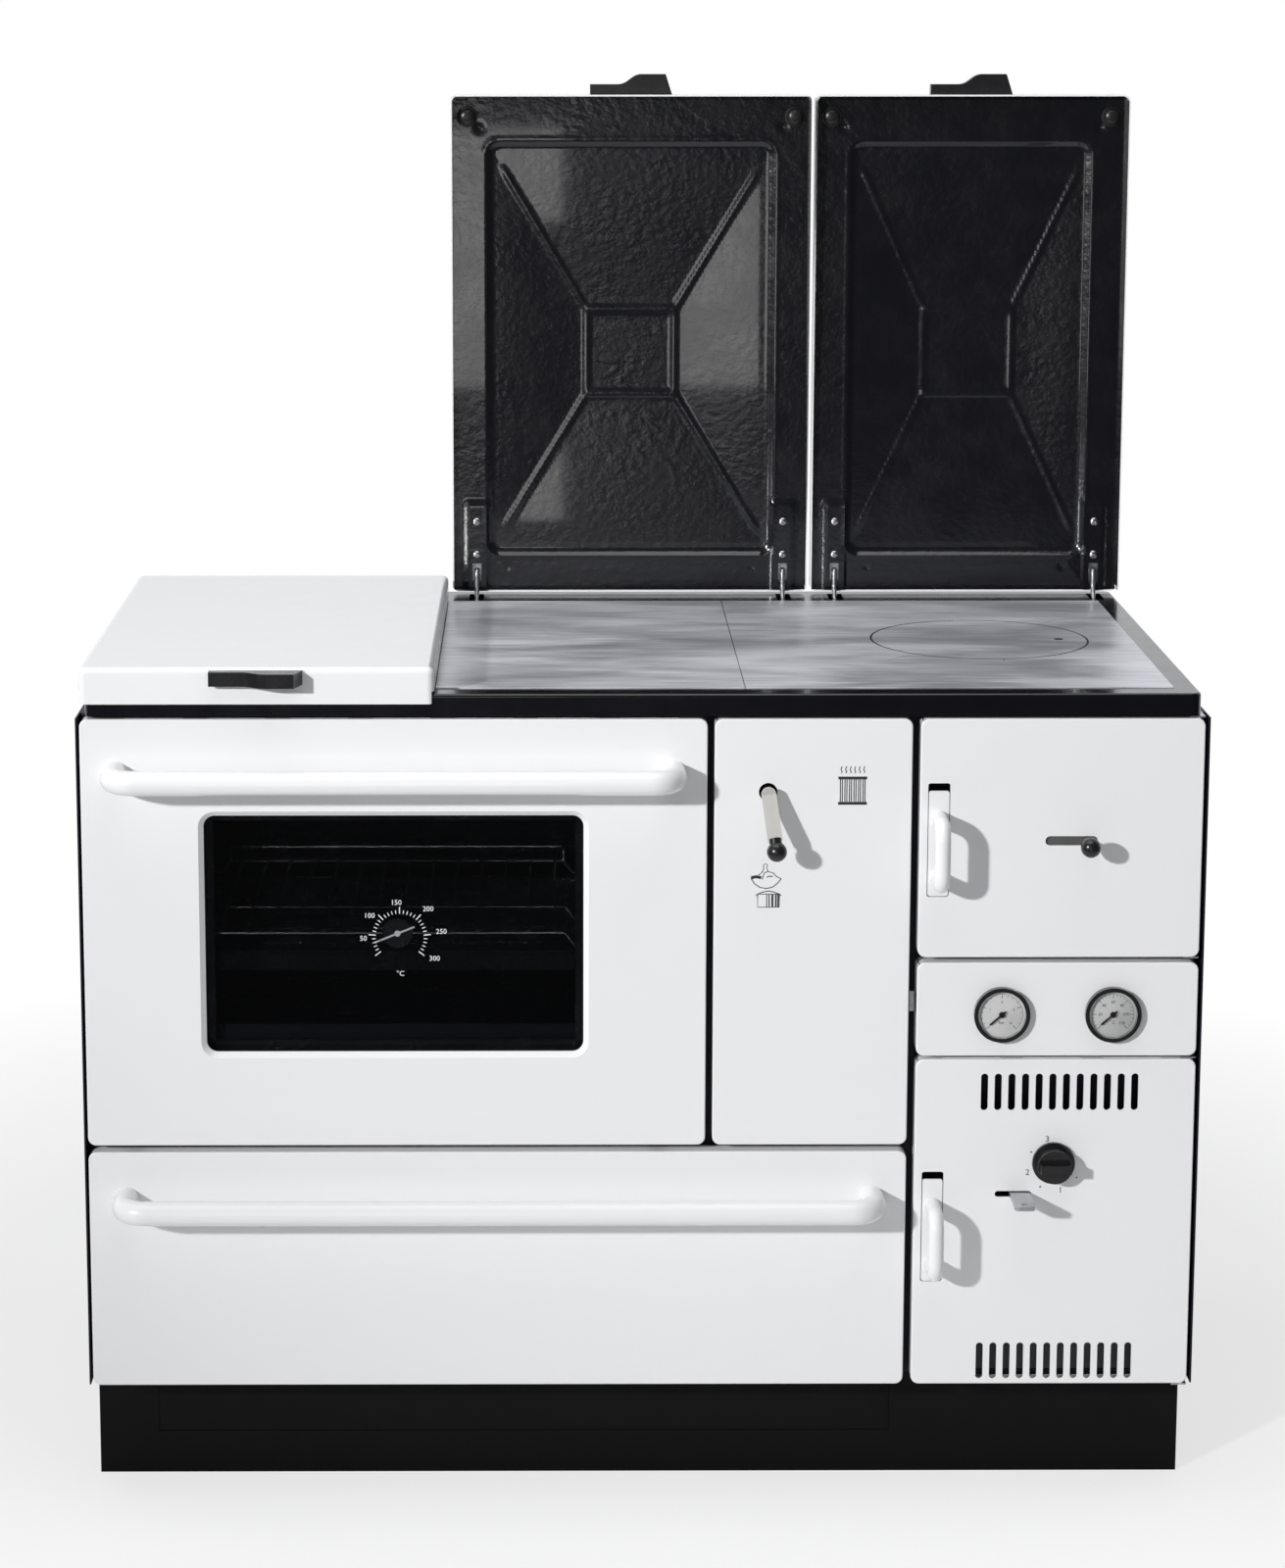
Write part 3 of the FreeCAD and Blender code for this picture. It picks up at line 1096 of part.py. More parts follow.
def ash_door():
    """The ash door: louvred skin, inner casting with its air flap, latch and thermostat knob."""
    x = ("column_left", "right_edge")
    skin = PressedFront(x, ("ash_door_low", "ash_door_high"), "skin_depth")
    skin.window(("handle_slot_left", "handle_slot_right"), ("ash_slot_low", "ash_slot_high"),
                "handle_slot_corner")
    skin.window(("lever_slot_left", "lever_slot_right"), ("lever_slot_low", "lever_slot_high"),
                "lever_slot_end")
    skin.hole("dial_x", "dial_z", "dial_stem + running")
    louvre = ("louvre_first", "louvre_first + louvre_width")
    for z in ("louvre_high", "louvre_low"):
        skin.row(louvre, (z, z + " + louvre_height"), "louvre_pitch", LOUVRES, "louvre_end")
    skin.body.setExpression(".Placement.Base.y", ref("door_face"))
    tools = [pin_bores("ash_door_low", "ash_door_high")]
    for number in range(TOP_SLOTS):
        start = "top_slot_first + %d * top_slot_pitch" % number
        tools.append(box((start, start + " + top_slot_length"), ("vent_y", "vent_y + vent_width"),
                         ("ash_door_high - window_depth", "ash_door_high + window_depth")))
    keep(cut(skin.body, *tools), "ash_door_skin")
    air = box(("air_left", "air_right"), ("door_face", "frame_face"), ("air_low", "air_high"))
    inner_door("ash_door_inner", "ash_inner_low", "ash_inner_high", [air])
    loop_handle("ash_door_handle", "ash_slot_low")
    width = ("air_left - flap_lap", "air_right + flap_lap")
    plate = box(width, ("inner_back + gap", "inner_back + gap + flap_thick"),
                ("air_low - flap_lap", "air_high + flap_lap"))
    roll = rod("x", ("inner_back + gap + flap_thick / 2", "air_high + flap_lap"), "flap_thick / 2",
               width)
    keep(fuse(plate, roll), "air_flap")
    centre = ("dial_x", "dial_z")
    skirt = rod("y", centre, "dial_skirt", ("door_face - 2 * sheet", "door_face - gap"))
    face = rod("y", centre, "dial_face", ("dial_stand + grip_depth", "door_face - 2 * sheet"))
    grip = box(("dial_x - dial_face + sheet", "dial_x + dial_face - sheet"),
               ("dial_stand", "dial_stand + grip_depth"),
               ("dial_z - grip_bar", "dial_z + grip_bar"))
    stem = rod("y", centre, "dial_stem", ("door_face - gap", "door_face + skin_depth / 2"))
    keep(fuse(skirt, face, grip, stem), "thermostat_knob")


def drawer():
    """The fuel drawer: pressed front, box, and the two rails that it runs on."""
    PressedFront(("left_edge", "middle_right"), ("drawer_low", "drawer_high"),
                 "skin_depth").keep("drawer_front")
    open_tray("drawer_box", ("box_left_side", "box_right_side"),
              ("door_face + skin_depth", "box_rear"), "box_floor", "box_wall_top", "box_sheet")
    rails = [box((left, left + " + rail_width"), ("rail_front", "rail_rear"), ("pan_top", "rail_top"))
             for left in ("rail_left", "rail_right")]
    keep(group(*rails), "drawer_runners")


# Whole cooker --------------------------------------------------------------------------------------

def build():
    """Builds every sub-part in turn."""
    fill_sheet()
    base_frame()
    side_panel("left_side_panel", "-case_half", "-case_half + side_sheet",
               "-case_half + side_sheet + side_flange")
    side_panel("right_side_panel", "case_half", "case_half - side_sheet",
               "case_half - side_sheet - side_flange")
    rear_panel()
    front_frame()
    door_hinge_pins()
    fixed_fronts()
    hob_frame()
    hob_plates()
    for side, (left, right) in zip(("left", "centre", "right"), lid_spans()):
        lid(side, left, right, opened=side != "left")
    oven_liner()
    oven_rack()
    baking_tray()
    oven_door()
    towel_rail("oven_door_handle", "oven_rail_left", "oven_rail_right", "oven_rail_z")
    gauges()
    flue_lever()
    flue_box()
    boiler_body()
    pipe_sockets()
    firebricks()
    grate()
    open_tray("ash_pan", ("pan_left", "pan_right"), ("pan_face", "pan_end"), "ash_floor", "pan_rim",
              "pan_sheet")
    fire_door()
    ash_door()
    drawer()
    towel_rail("drawer_handle", "drawer_rail_left", "drawer_rail_right", "drawer_rail_z")
    DOC.recompute()


def write():
    """Checks every object and each sub-part, and writes the sub-parts."""
    for item in DOC.Objects:
        if "Invalid" in item.State or "Error" in item.State:
            raise ValueError("%s (%s) failed: %s" % (item.Name, item.Label, item.State))
    os.makedirs("parts", exist_ok=True)
    for piece in PARTS:
        if piece.Shape.isNull() or not piece.Shape.isValid():
            raise ValueError("%s has no valid shape" % piece.Label)
    for piece in PARTS:
        piece.Shape.exportStep("parts/%s.step" % piece.Label)
        print("%-22s %2d solids %10.0f mm3" % (piece.Label, len(piece.Shape.Solids),
                                               piece.Shape.Volume))


build()
write()
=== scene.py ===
import json
import math

import bpy
from mathutils import Matrix, Vector


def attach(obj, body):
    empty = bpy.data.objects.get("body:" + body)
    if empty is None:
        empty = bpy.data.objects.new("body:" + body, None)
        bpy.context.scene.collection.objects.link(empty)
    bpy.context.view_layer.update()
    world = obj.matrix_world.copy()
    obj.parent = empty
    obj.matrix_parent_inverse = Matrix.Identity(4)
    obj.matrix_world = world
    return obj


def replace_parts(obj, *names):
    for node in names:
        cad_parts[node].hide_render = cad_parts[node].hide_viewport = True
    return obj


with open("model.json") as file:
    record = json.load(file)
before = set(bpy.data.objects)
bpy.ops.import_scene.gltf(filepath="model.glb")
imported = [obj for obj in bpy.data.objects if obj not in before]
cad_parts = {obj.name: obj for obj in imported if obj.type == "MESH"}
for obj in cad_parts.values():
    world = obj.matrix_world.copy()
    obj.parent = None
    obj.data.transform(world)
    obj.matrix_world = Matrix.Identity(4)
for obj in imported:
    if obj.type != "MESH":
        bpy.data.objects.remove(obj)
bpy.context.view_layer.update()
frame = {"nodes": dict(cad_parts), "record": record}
MM = 0.001

# Camera -------------------------------------------------------------------------------------------

CAMERA_PLACE = (-0.0959, -3.7983, 1.5149)
CAMERA_PITCH, CAMERA_YAW = 0.1686, 0.0049
camera_data = bpy.data.cameras.new("camera")
camera_data.lens = 84.7
camera_data.sensor_width = 36
camera_data.shift_x, camera_data.shift_y = 0.0514, -0.12
camera = bpy.data.objects.new("camera", camera_data)
camera.location = CAMERA_PLACE
camera.rotation_euler = (math.pi / 2 - CAMERA_PITCH, 0, -CAMERA_YAW)
bpy.context.collection.objects.link(camera)
bpy.context.scene.camera = camera
bpy.context.scene.view_settings.view_transform = "Standard"


# Materials ----------------------------------------------------------------------------------------

class Finish:
    """A material whose one Principled shader is given constant sockets and procedural variation."""

    def __init__(self, name, colour, roughness, metallic=0.0, coat=0.0, specular=0.5):
        self.material = bpy.data.materials.new(name)
        self.material.use_nodes = True
        self.tree = self.material.node_tree
        self.shader = self.tree.nodes["Principled BSDF"]
        self.shader.inputs["Base Color"].default_value = (*colour, 1)
        self.shader.inputs["Roughness"].default_value = roughness
        self.shader.inputs["Metallic"].default_value = metallic
        self.shader.inputs["Coat Weight"].default_value = coat
        self.shader.inputs["Coat Roughness"].default_value = 0.04
        self.shader.inputs["Specular IOR Level"].default_value = specular
        self.normal = None

    def node(self, kind, **values):
        made = self.tree.nodes.new(kind)
        for key, value in values.items():
            if key in made.inputs:
                made.inputs[key].default_value = value
            else:
                setattr(made, key, value)
        return made

    def link(self, source, target):
        self.tree.links.new(source, target)

    def noise(self, scale, stretch=(1, 1, 1), detail=4.0, distortion=0.0):
        """Noise in the part's own coordinates, stretched along an axis by a smaller factor."""
        place = self.node("ShaderNodeTexCoord")
        mapping = self.node("ShaderNodeMapping")
        mapping.inputs["Scale"].default_value = stretch
        made = self.node("ShaderNodeTexNoise", Scale=scale, Detail=detail, Distortion=distortion)
        self.link(place.outputs["Object"], mapping.inputs["Vector"])
        self.link(mapping.outputs["Vector"], made.inputs["Vector"])
        return made.outputs["Fac"]

    def ranged(self, source, low, high, start=0.35, end=0.65):
        made = self.node("ShaderNodeMapRange")
        for key, value in zip(("From Min", "From Max", "To Min", "To Max"), (start, end, low, high)):
            made.inputs[key].default_value = value
        self.link(source, made.inputs["Value"])
        return made.outputs["Result"]

    def rough(self, source, low, high, start=0.35, end=0.65):
        self.link(self.ranged(source, low, high, start, end), self.shader.inputs["Roughness"])
        return self

    def tint(self, source, first, second, start=0.35, end=0.65):
        mix = self.node("ShaderNodeMix", data_type="RGBA")
        mix.inputs[6].default_value = (*first, 1)
        mix.inputs[7].default_value = (*second, 1)
        self.link(self.ranged(source, 0, 1, start, end), mix.inputs[0])
        self.link(mix.outputs[2], self.shader.inputs["Base Color"])
        return self

    def relief(self, source, strength, distance):
        bump = self.node("ShaderNodeBump", Strength=strength, Distance=distance)
        self.link(source, bump.inputs["Height"])
        if self.normal:
            self.link(self.normal, bump.inputs["Normal"])
        self.normal = bump.outputs["Normal"]
        self.link(self.normal, self.shader.inputs["Normal"])
        return self


def enamel(name, colour, roughness, peel_scale, peel, spread=0.06, coat=0.6, depth=0.0004):
    """Vitreous enamel: a glossy coat over a faint orange-peel."""
    made = Finish(name, colour, roughness, coat=coat)
    made.rough(made.noise(30, detail=3), roughness, roughness + spread)
    made.relief(made.noise(peel_scale, (0.8, 1, 1), 2), peel, depth)
    return made.material


def powder(name, colour, roughness, specular):
    made = Finish(name, colour, roughness, specular=specular)
    made.rough(made.noise(40), roughness, roughness + 0.12)
    made.relief(made.noise(2200, detail=2), 0.25, 0.00012)
    return made.material


def iron(name, colour, roughness, scale=700, strength=0.6):
    made = Finish(name, colour, roughness, specular=0.35)
    dark = tuple(0.7 * c for c in colour)
    made.tint(made.noise(18, detail=6), dark, colour)
    made.rough(made.noise(60), roughness - 0.08, roughness + 0.1)
    made.relief(made.noise(scale, detail=5), strength, 0.0003)
    return made.material


def brushed(name, colour, roughness, stretch, metallic=1.0):
    made = Finish(name, colour, roughness, metallic=metallic)
    lines = made.noise(900, stretch, 3)
    made.rough(lines, roughness - 0.08, roughness + 0.12)
    made.relief(lines, 0.12, 0.00008)
    return made.material


def ground_plate():
    """Ground cast iron: fine streaks along X mixed with cloudy polish."""
    made = Finish("ground_iron", (0.42, 0.42, 0.43), 0.42, metallic=0.4)
    streaks = made.noise(420, (0.03, 1, 1), 5)
    clouds = made.noise(9, (0.5, 1.2, 1), 5, 0.6)
    together = made.node("ShaderNodeMix", data_type="FLOAT")
    together.inputs[0].default_value = 0.5
    made.link(streaks, together.inputs[2])
    made.link(clouds, together.inputs[3])
    made.tint(together.outputs[0], (0.46, 0.47, 0.51), (0.86, 0.88, 0.93), 0.4, 0.6)
    made.rough(clouds, 0.28, 0.5)
    made.relief(streaks, 0.35, 0.00012)
    return made.material


def chrome(name, colour, roughness):
    made = Finish(name, colour, roughness, metallic=1.0)
    made.rough(made.noise(120), roughness, roughness + 0.06)
    return made.material


def moulded(name, colour, roughness):
    made = Finish(name, colour, roughness)
    made.rough(made.noise(90), roughness, roughness + 0.08)
    made.relief(made.noise(900, detail=2), 0.12, 0.0001)
    return made.material


def window_glass(name, tint):
    """A pane: clear through but for its tint, with a gloss that follows the angle."""
    made = Finish(name, (0.02, 0.02, 0.022), 0.03)
    tree = made.tree
    out = tree.nodes["Material Output"]
    clear = made.node("ShaderNodeBsdfTransparent")
    clear.inputs["Color"].default_value = (*tint, 1)
    gloss = made.node("ShaderNodeBsdfGlossy", Roughness=0.02)
    gloss.inputs["Color"].default_value = (0.9, 0.9, 0.9, 1)
    fresnel = made.node("ShaderNodeFresnel", IOR=1.35)
    mix = made.node("ShaderNodeMixShader")
    made.link(fresnel.outputs["Fac"], mix.inputs["Fac"])
    made.link(clear.outputs["BSDF"], mix.inputs[1])
    made.link(gloss.outputs["BSDF"], mix.inputs[2])
    made.link(mix.outputs["Shader"], out.inputs["Surface"])
    waves = made.noise(25, detail=1)
    bump = made.node("ShaderNodeBump", Strength=0.03, Distance=0.0004)
    made.link(waves, bump.inputs["Height"])
    made.link(bump.outputs["Normal"], gloss.inputs["Normal"])
    return made.material


def brick():
    made = Finish("firebrick", (0.72, 0.62, 0.46), 0.9, specular=0.2)
    made.tint(made.noise(45, detail=8), (0.55, 0.45, 0.32), (0.78, 0.69, 0.53))
    made.relief(made.noise(320, detail=6), 0.7, 0.0006)
    return made.material


FINISHES = {
    "white_enamel": enamel("white_enamel", (0.84, 0.84, 0.845), 0.24, 110, 0.02, 0.03, 0.25),
    "black_enamel": enamel("black_enamel", (0.005, 0.005, 0.007), 0.2, 130, 0.6, 0.08, depth=0.0008),
    "casing_paint": powder("casing_paint", (0.012, 0.011, 0.02), 0.42, 0.2),
    "plinth_paint": powder("plinth_paint", (0.0045, 0.0042, 0.0048), 0.38, 0.12),
    "hob_enamel": enamel("hob_enamel", (0.004, 0.004, 0.006), 0.16, 90, 0.12, 0.05, 0.2),
    "ground_iron": ground_plate(),
    "raw_iron": iron("raw_iron", (0.07, 0.07, 0.072), 0.62),
    "chrome_wire": chrome("chrome_wire", (0.8, 0.8, 0.81), 0.12),
    "handle_steel": brushed("handle_steel", (0.6, 0.59, 0.56), 0.4, (1, 1, 0.05), 0.35),
    "zinc_steel": brushed("zinc_steel", (0.55, 0.56, 0.58), 0.36, (0.3, 1, 1)),
    "boiler_paint": iron("boiler_paint", (0.045, 0.045, 0.045), 0.6, 1200, 0.3),
    "firebrick": brick(),
    "door_glass": window_glass("door_glass", (0.84, 0.85, 0.86)),
    "bakelite": moulded("bakelite", (0.012, 0.012, 0.013), 0.22),
    "gauge_metal": enamel("gauge_metal", (0.01, 0.01, 0.011), 0.25, 200, 0.05),
    "needle_black": moulded("needle_black", (0.01, 0.01, 0.01), 0.4),
    "needle_white": moulded("needle_white", (0.85, 0.85, 0.84), 0.4),
}
INK = moulded("ink", (0.02, 0.02, 0.021), 0.45)
WHITE_INK = moulded("white_ink", (0.85, 0.85, 0.85), 0.45)
DIAL = moulded("dial_face", (0.86, 0.86, 0.85), 0.5)
RUBBER = moulded("rubber", (0.012, 0.012, 0.012), 0.3)
# Painted shade: a dark finish for the strokes laid on the hob where a gap or hole is in shade.
SHADOW = moulded("hairline_shadow", (0.012, 0.012, 0.013), 0.7)
SLIDE = iron("slide_iron", (0.11, 0.11, 0.11), 0.55, 500, 0.5)
SCREW = chrome("screw_steel", (0.55, 0.55, 0.57), 0.25)
BEZEL = chrome("bezel_chrome", (0.82, 0.82, 0.83), 0.08)
LENS = window_glass("gauge_lens", (0.97, 0.97, 0.97))

for part in frame["record"]["subparts"]:
    node = frame["nodes"][part["node"]]
    for holder in node.material_slots:
        holder.material = FINISHES[part["material_slot"]]


# Mesh helpers: they, and the pieces made with them, are in millimetres ---------------------------

FRONT_Y = -300
INK_THICK = 0.12


class Sheet:
    """Gathers verts and faces, in millimetres, for one piece."""

    def __init__(self):
        self.points, self.faces = [], []

    def add(self, points, faces, place=None):
        start = len(self.points)
        self.points += [place @ Vector(p) for p in points] if place else [Vector(p) for p in points]
        self.faces += [[start + i for i in face] for face in faces]
        return self

    def make(self, name, material, body, slot, smooth=True, pose=None):
        mesh = bpy.data.meshes.new(name)
        turned = [pose @ p if pose else p for p in self.points]
        mesh.from_pydata([p * MM for p in turned], [], self.faces)
        mesh.validate()
        mesh.materials.append(material)
        made = bpy.data.objects.new(name, mesh)
        bpy.context.collection.objects.link(made)
        if smooth:
            mesh.shade_smooth()
            mesh.set_sharp_from_angle(angle=math.radians(35))
        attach(made, body)
        return made


def facing(x, y, z):
    """Local x is the part's X, local y is up, and local z points at the viewer."""
    return Matrix.Translation((x, y, z)) @ Matrix.Rotation(math.pi / 2, 4, "X")


def lathe(sheet, profile, place, steps=48, capped=True):
    """Turns a profile of (radius, height) about the local z axis."""
    points, faces = [], []
    for r, h in profile:
        points += [(r * math.cos(t), r * math.sin(t), h)
                   for t in (2 * math.pi * i / steps for i in range(steps))]
    for ring in range(len(profile) - 1):
        for i in range(steps):
            j = (i + 1) % steps
            low, high = ring * steps, (ring + 1) * steps
            faces.append([low + i, low + j, high + j, high + i])
    for ring in (0, len(profile) - 1):
        if capped and profile[ring][0] > 1e-6:
            loop = [ring * steps + i for i in range(steps)]
            faces.append(loop if ring else loop[::-1])
    sheet.add(points, faces, place)


def stroke(sheet, path, width, place, thick=INK_THICK, closed=False):
    """A printed line of even width with a hair of thickness."""
    count = len(path)
    left, right = [], []
    for i, (x, y) in enumerate(path):
        before = path[(i - 1) % count] if (i or closed) else path[i]
        after = path[(i + 1) % count] if (i < count - 1 or closed) else path[i]
        along = Vector((after[0] - before[0], after[1] - before[1]))
        along.normalize()
        off = Vector((-along.y, along.x)) * width / 2
        left.append((x + off.x, y + off.y, thick))
        right.append((x - off.x, y - off.y, thick))
    points = left + right
    spans = range(count if closed else count - 1)
    faces = [[i, (i + 1) % count, count + (i + 1) % count, count + i][::-1] for i in spans]
    sheet.add(points, faces, place)


def text(sheet, words, size, x, y, place):
    """Generic lettering, such as the numbers of a scale, in the built-in typeface."""
    curve = bpy.data.curves.new("words", "FONT")
    curve.body, curve.size = words, size
    curve.align_x, curve.align_y = "CENTER", "CENTER"
    curve.resolution_u = 3
    holder = bpy.data.objects.new("words", curve)
    bpy.context.collection.objects.link(holder)
    bpy.context.view_layer.update()
    mesh = bpy.data.meshes.new_from_object(holder)
    points = [(v.co.x + x, v.co.y + y, INK_THICK) for v in mesh.vertices]
    faces = [list(p.vertices) for p in mesh.polygons]
    sheet.add(points, faces, place)
    bpy.data.objects.remove(holder)
    bpy.data.meshes.remove(mesh)
    bpy.data.curves.remove(curve)


def ease(value, start, end):
    t = max(0.0, min(1.0, (value - start) / (end - start)))
    return t * t * (3 - 2 * t)


def rounded_distance(x, y, box, radius):
    """Distance outside a rounded rectangle; negative inside."""
    left, right, front, rear = box
    dx = abs(x - (left + right) / 2) - ((right - left) / 2 - radius)
    dy = abs(y - (front + rear) / 2) - ((rear - front) / 2 - radius)
    return math.hypot(max(dx, 0), max(dy, 0)) + min(max(dx, dy), 0) - radius


# Lids ---------------------------------------------------------------------------------------------

HINGE_Y, HINGE_Z = 262, 812
LINER_Z = 830
RIM_LOW, RIM_HIGH = 814.4, 826.3    # foot of the rim: front and outer sides, and sides next to another lid
OPEN = (Matrix.Translation((0, HINGE_Y, HINGE_Z)) @ Matrix.Rotation(-math.pi / 2, 4, "X")
        @ Matrix.Translation((0, -HINGE_Y, -HINGE_Z)))
LIDS = {"left": (-546, -202, None), "centre": (-198, 198, OPEN), "right": (202, 546, OPEN)}


def pressing(x, y, left, right):
    """Height of the pressed lid liner above its flange plane, into the lid."""
    middle = (left + right) / 2
    outline = (left + 39, right - 39, -253, 207)
    outside = rounded_distance(x, y, outline, 15)
    depth = 3.2 * ease(-outside, 0, 5.5) - 0.5 * math.exp(-(outside / 2.0) ** 2)
    if outside < -5:
        core = (middle - 48.5, middle + 48.5, -68, 26)
        tx = min((x - outline[0]) / (core[0] - outline[0]), (outline[1] - x) / (outline[1] - core[1]))
        ty = min((y - outline[2]) / (core[2] - outline[2]), (outline[3] - y) / (outline[3] - core[3]))
        t = min(tx, ty, 1.0)
        depth += 6.5 * ease(t, 0.05, 1.0) * 0.35 + 6.5 * 0.65 * max(0.0, t)
        near = min(1.0, tx) - min(1.0, ty)
        crease = math.exp(-(near / 0.022) ** 2) * ease(t, 0.12, 0.2) * (1 - ease(t, 0.97, 1.0))
        frame_line = math.exp(-((min(tx, ty) - 1.0) / 0.022) ** 2)
        depth -= 1.3 * max(crease, frame_line)
    for arm in (left + 27, right - 27):
        bracket = rounded_distance(x, y, (arm - 14, arm + 14, 146, 262), 3)
        depth -= 2.2 * ease(-bracket, 0, 2.5)
    for dx in (left + 62, right - 62):
        depth += 1.2 * math.exp(-((x - dx) ** 2 + (y - 220) ** 2) / 6.0)
    for dx in (left + 31.1, right - 31.1):
        depth += 2.5 * math.exp(-((x - dx) ** 2 + (y + 268.2) ** 2) / 8.0)
    return depth


def grid_lines(start, end, pitch, marks):
    count = max(2, round((end - start) / pitch))
    lines = {round(start + (end - start) * i / count, 3) for i in range(count + 1)}
    for mark in marks:
        lines = {v for v in lines if abs(v - mark) > pitch * 0.4 or v in (start, end)} | {mark}
    return sorted(lines)


def lid_liner(side, left, right, pose):
    """The black pressed sheet inside a lid, with its turned rim over the shell's inner walls."""
    inset = 1.8
    x0, x1, y0, y1 = left + inset, right - inset, -304 + inset, 248 - inset
    arms = (left + 27, right - 27)
    slot_half, slot_front, slot_rear = 5.0, 216.0, 240.0
    marks = [a + s for a in arms for s in (-slot_half, slot_half)]
    xs = grid_lines(x0, x1, 3.0, marks)
    ys = grid_lines(y0, y1, 3.0, [slot_front, slot_rear])
    sheet = Sheet()
    points = [(x, y, LINER_Z + pressing(x, y, left, right)) for y in ys for x in xs]
    faces, wide = [], len(xs)
    for j in range(len(ys) - 1):
        for i in range(wide - 1):
            cx, cy = (xs[i] + xs[i + 1]) / 2, (ys[j] + ys[j + 1]) / 2
            if slot_front < cy < slot_rear and any(abs(cx - a) < slot_half for a in arms):
                continue
            if rounded_distance(cx, cy, (x0, x1, y0, y1), 6) > 0.6:
                continue
            a = j * wide + i
            faces.append([a, a + wide, a + wide + 1, a + 1])
    sheet.add(points, faces)
    low_left = RIM_LOW if side == "left" else RIM_HIGH
    low_right = RIM_LOW if side == "right" else RIM_HIGH
    front_strip, corner = 6.5, 5.6

    def rim(x, y):
        if y < y0 + front_strip:
            return RIM_LOW
        return low_left if x < (left + right) / 2 else low_right

    path = []
    for cx, cy, start in ((x0 + corner, y1 - corner, 90), (x0 + corner, y0 + corner, 180),
                          (x1 - corner, y0 + corner, 270), (x1 - corner, y1 - corner, 0)):
        for k in range(7):
            turn = math.radians(start + 15 * k)
            path.append((cx + corner * math.cos(turn), cy + corner * math.sin(turn)))
    # The rim runs along the left side, the front and the right side, and leaves the rear edge open.
    ring = path[6:-6]
    low = [(x, y, rim(x, y)) for x, y in ring]
    high = [(x, y, LINER_Z + 1.0) for x, y in ring]
    count = len(ring)
    sheet.add(low + high, [[i, i + 1, count + i + 1, count + i] for i in range(count - 1)])
    made = sheet.make(side + "_lid_pressing", FINISHES["black_enamel"], side + "_lid",
                      "black_enamel", pose=pose)
    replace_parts(made, side + "_lid_liner")

    rubber, screws = Sheet(), Sheet()
    down = Matrix.Rotation(math.pi, 4, "X")
    for x in (left + 18.2, right - 18.2):
        place = Matrix.Translation((x, -280, LINER_Z)) @ down
        lathe(rubber, [(0, -1), (11.5, -1), (11.5, 1.2), (10.8, 2.0), (9.4, 2.2), (8.8, 3.4), (7.2, 5.2),
                       (4.5, 6.3), (1.8, 6.6), (0, 6.6)], place)
    for x in arms:
        for y in (169.4, 206.7):
            place = Matrix.Translation((x, y, LINER_Z - 2.2)) @ down
            lathe(screws, [(0, -1), (4.6, -1), (4.6, 0.2), (3.9, 1.1), (2.6, 1.6), (1.4, 1.7), (1.0, 0.7),
                           (0, 0.5)], place, 24)
    rubber.make(side + "_lid_bumpers", RUBBER, side + "_lid", "bakelite", pose=pose)
    screws.make(side + "_lid_screws", SCREW, side + "_lid", "zinc_steel", pose=pose)


for side, (left, right, pose) in LIDS.items():
    lid_liner(side, left, right, pose)


# Hob: painted shade, a dark hairline in the gap around the lift-out ring and a dark ring in the hole for
# the lifting tool ---

RING_X, RING_Y, PLATE_TOP = 358, -11, 824
# Both strokes are painted shade: dark lines laid on the plate top where the ring's gap and the lift hole
# fall in shade.
for name, radius, width, x in (("ring_gap_painted_shade", 112.6, 2.2, 0), ("lift_hole_shade", 3.2, 3.4, 83)):
    line = Sheet()
    place = Matrix.Translation((RING_X + x, RING_Y, PLATE_TOP))
    loop = [(radius * math.cos(2 * math.pi * k / 144), radius * math.sin(2 * math.pi * k / 144))
            for k in range(144)]
    stroke(line, loop, width, place, 0.06, closed=True)
    line.make(name, SHADOW, "hob_ring" if x else "root", "ground_iron", smooth=False)


# Fire door air slide: a grey plate behind the slot, and a black knob on its pin -----------------

PLATE_LEFT, PLATE_RIGHT, PLATE_LOW, PLATE_HIGH = 340, 446, 663, 691
PLATE_FRONT, PLATE_REAR = -297.7, -295.7
PIN_X, PIN_Z, PIN_RADIUS = 432, 677, 3.6
slide, knob = Sheet(), Sheet()
for y, face in ((PLATE_FRONT, [0, 1, 2, 3]), (PLATE_REAR, [3, 2, 1, 0])):
    slide.add([(PLATE_LEFT, y, PLATE_LOW), (PLATE_RIGHT, y, PLATE_LOW),
               (PLATE_RIGHT, y, PLATE_HIGH), (PLATE_LEFT, y, PLATE_HIGH)], [face])
lathe(slide, [(PIN_RADIUS, 0), (PIN_RADIUS, 25.5)], facing(PIN_X, PLATE_FRONT, PIN_Z), 24)
lathe(knob, [(PIN_RADIUS, 4.0), (4.6, 4.6), (7.4, 7.2), (9.2, 10.6), (9.7, 14.3), (9.3, 17.4),
             (8.0, 20.2), (5.6, 22.6), (2.8, 23.7), (0, 24)], facing(PIN_X, -314.7, PIN_Z), 48, False)
slide.make("air_slide_plate", SLIDE, "fire_air_slide", "black_enamel")
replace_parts(knob.make("air_slide_knob", FINISHES["bakelite"], "fire_air_slide", "bakelite"),
            "fire_air_slide")


# Gauges -------------------------------------------------------------------------------------------

GAUGES = {"pressure": (352.6, 503, ("0", "1", "2", "3", "4"), "bar"),
          "temperature": (461.7, 503, ("0", "20", "40", "60", "80", "100", "120"), "°C")}
DIAL_Y = -302.52
DIAL_START, DIAL_SWEEP = 225, 270    # degrees, clockwise from the start

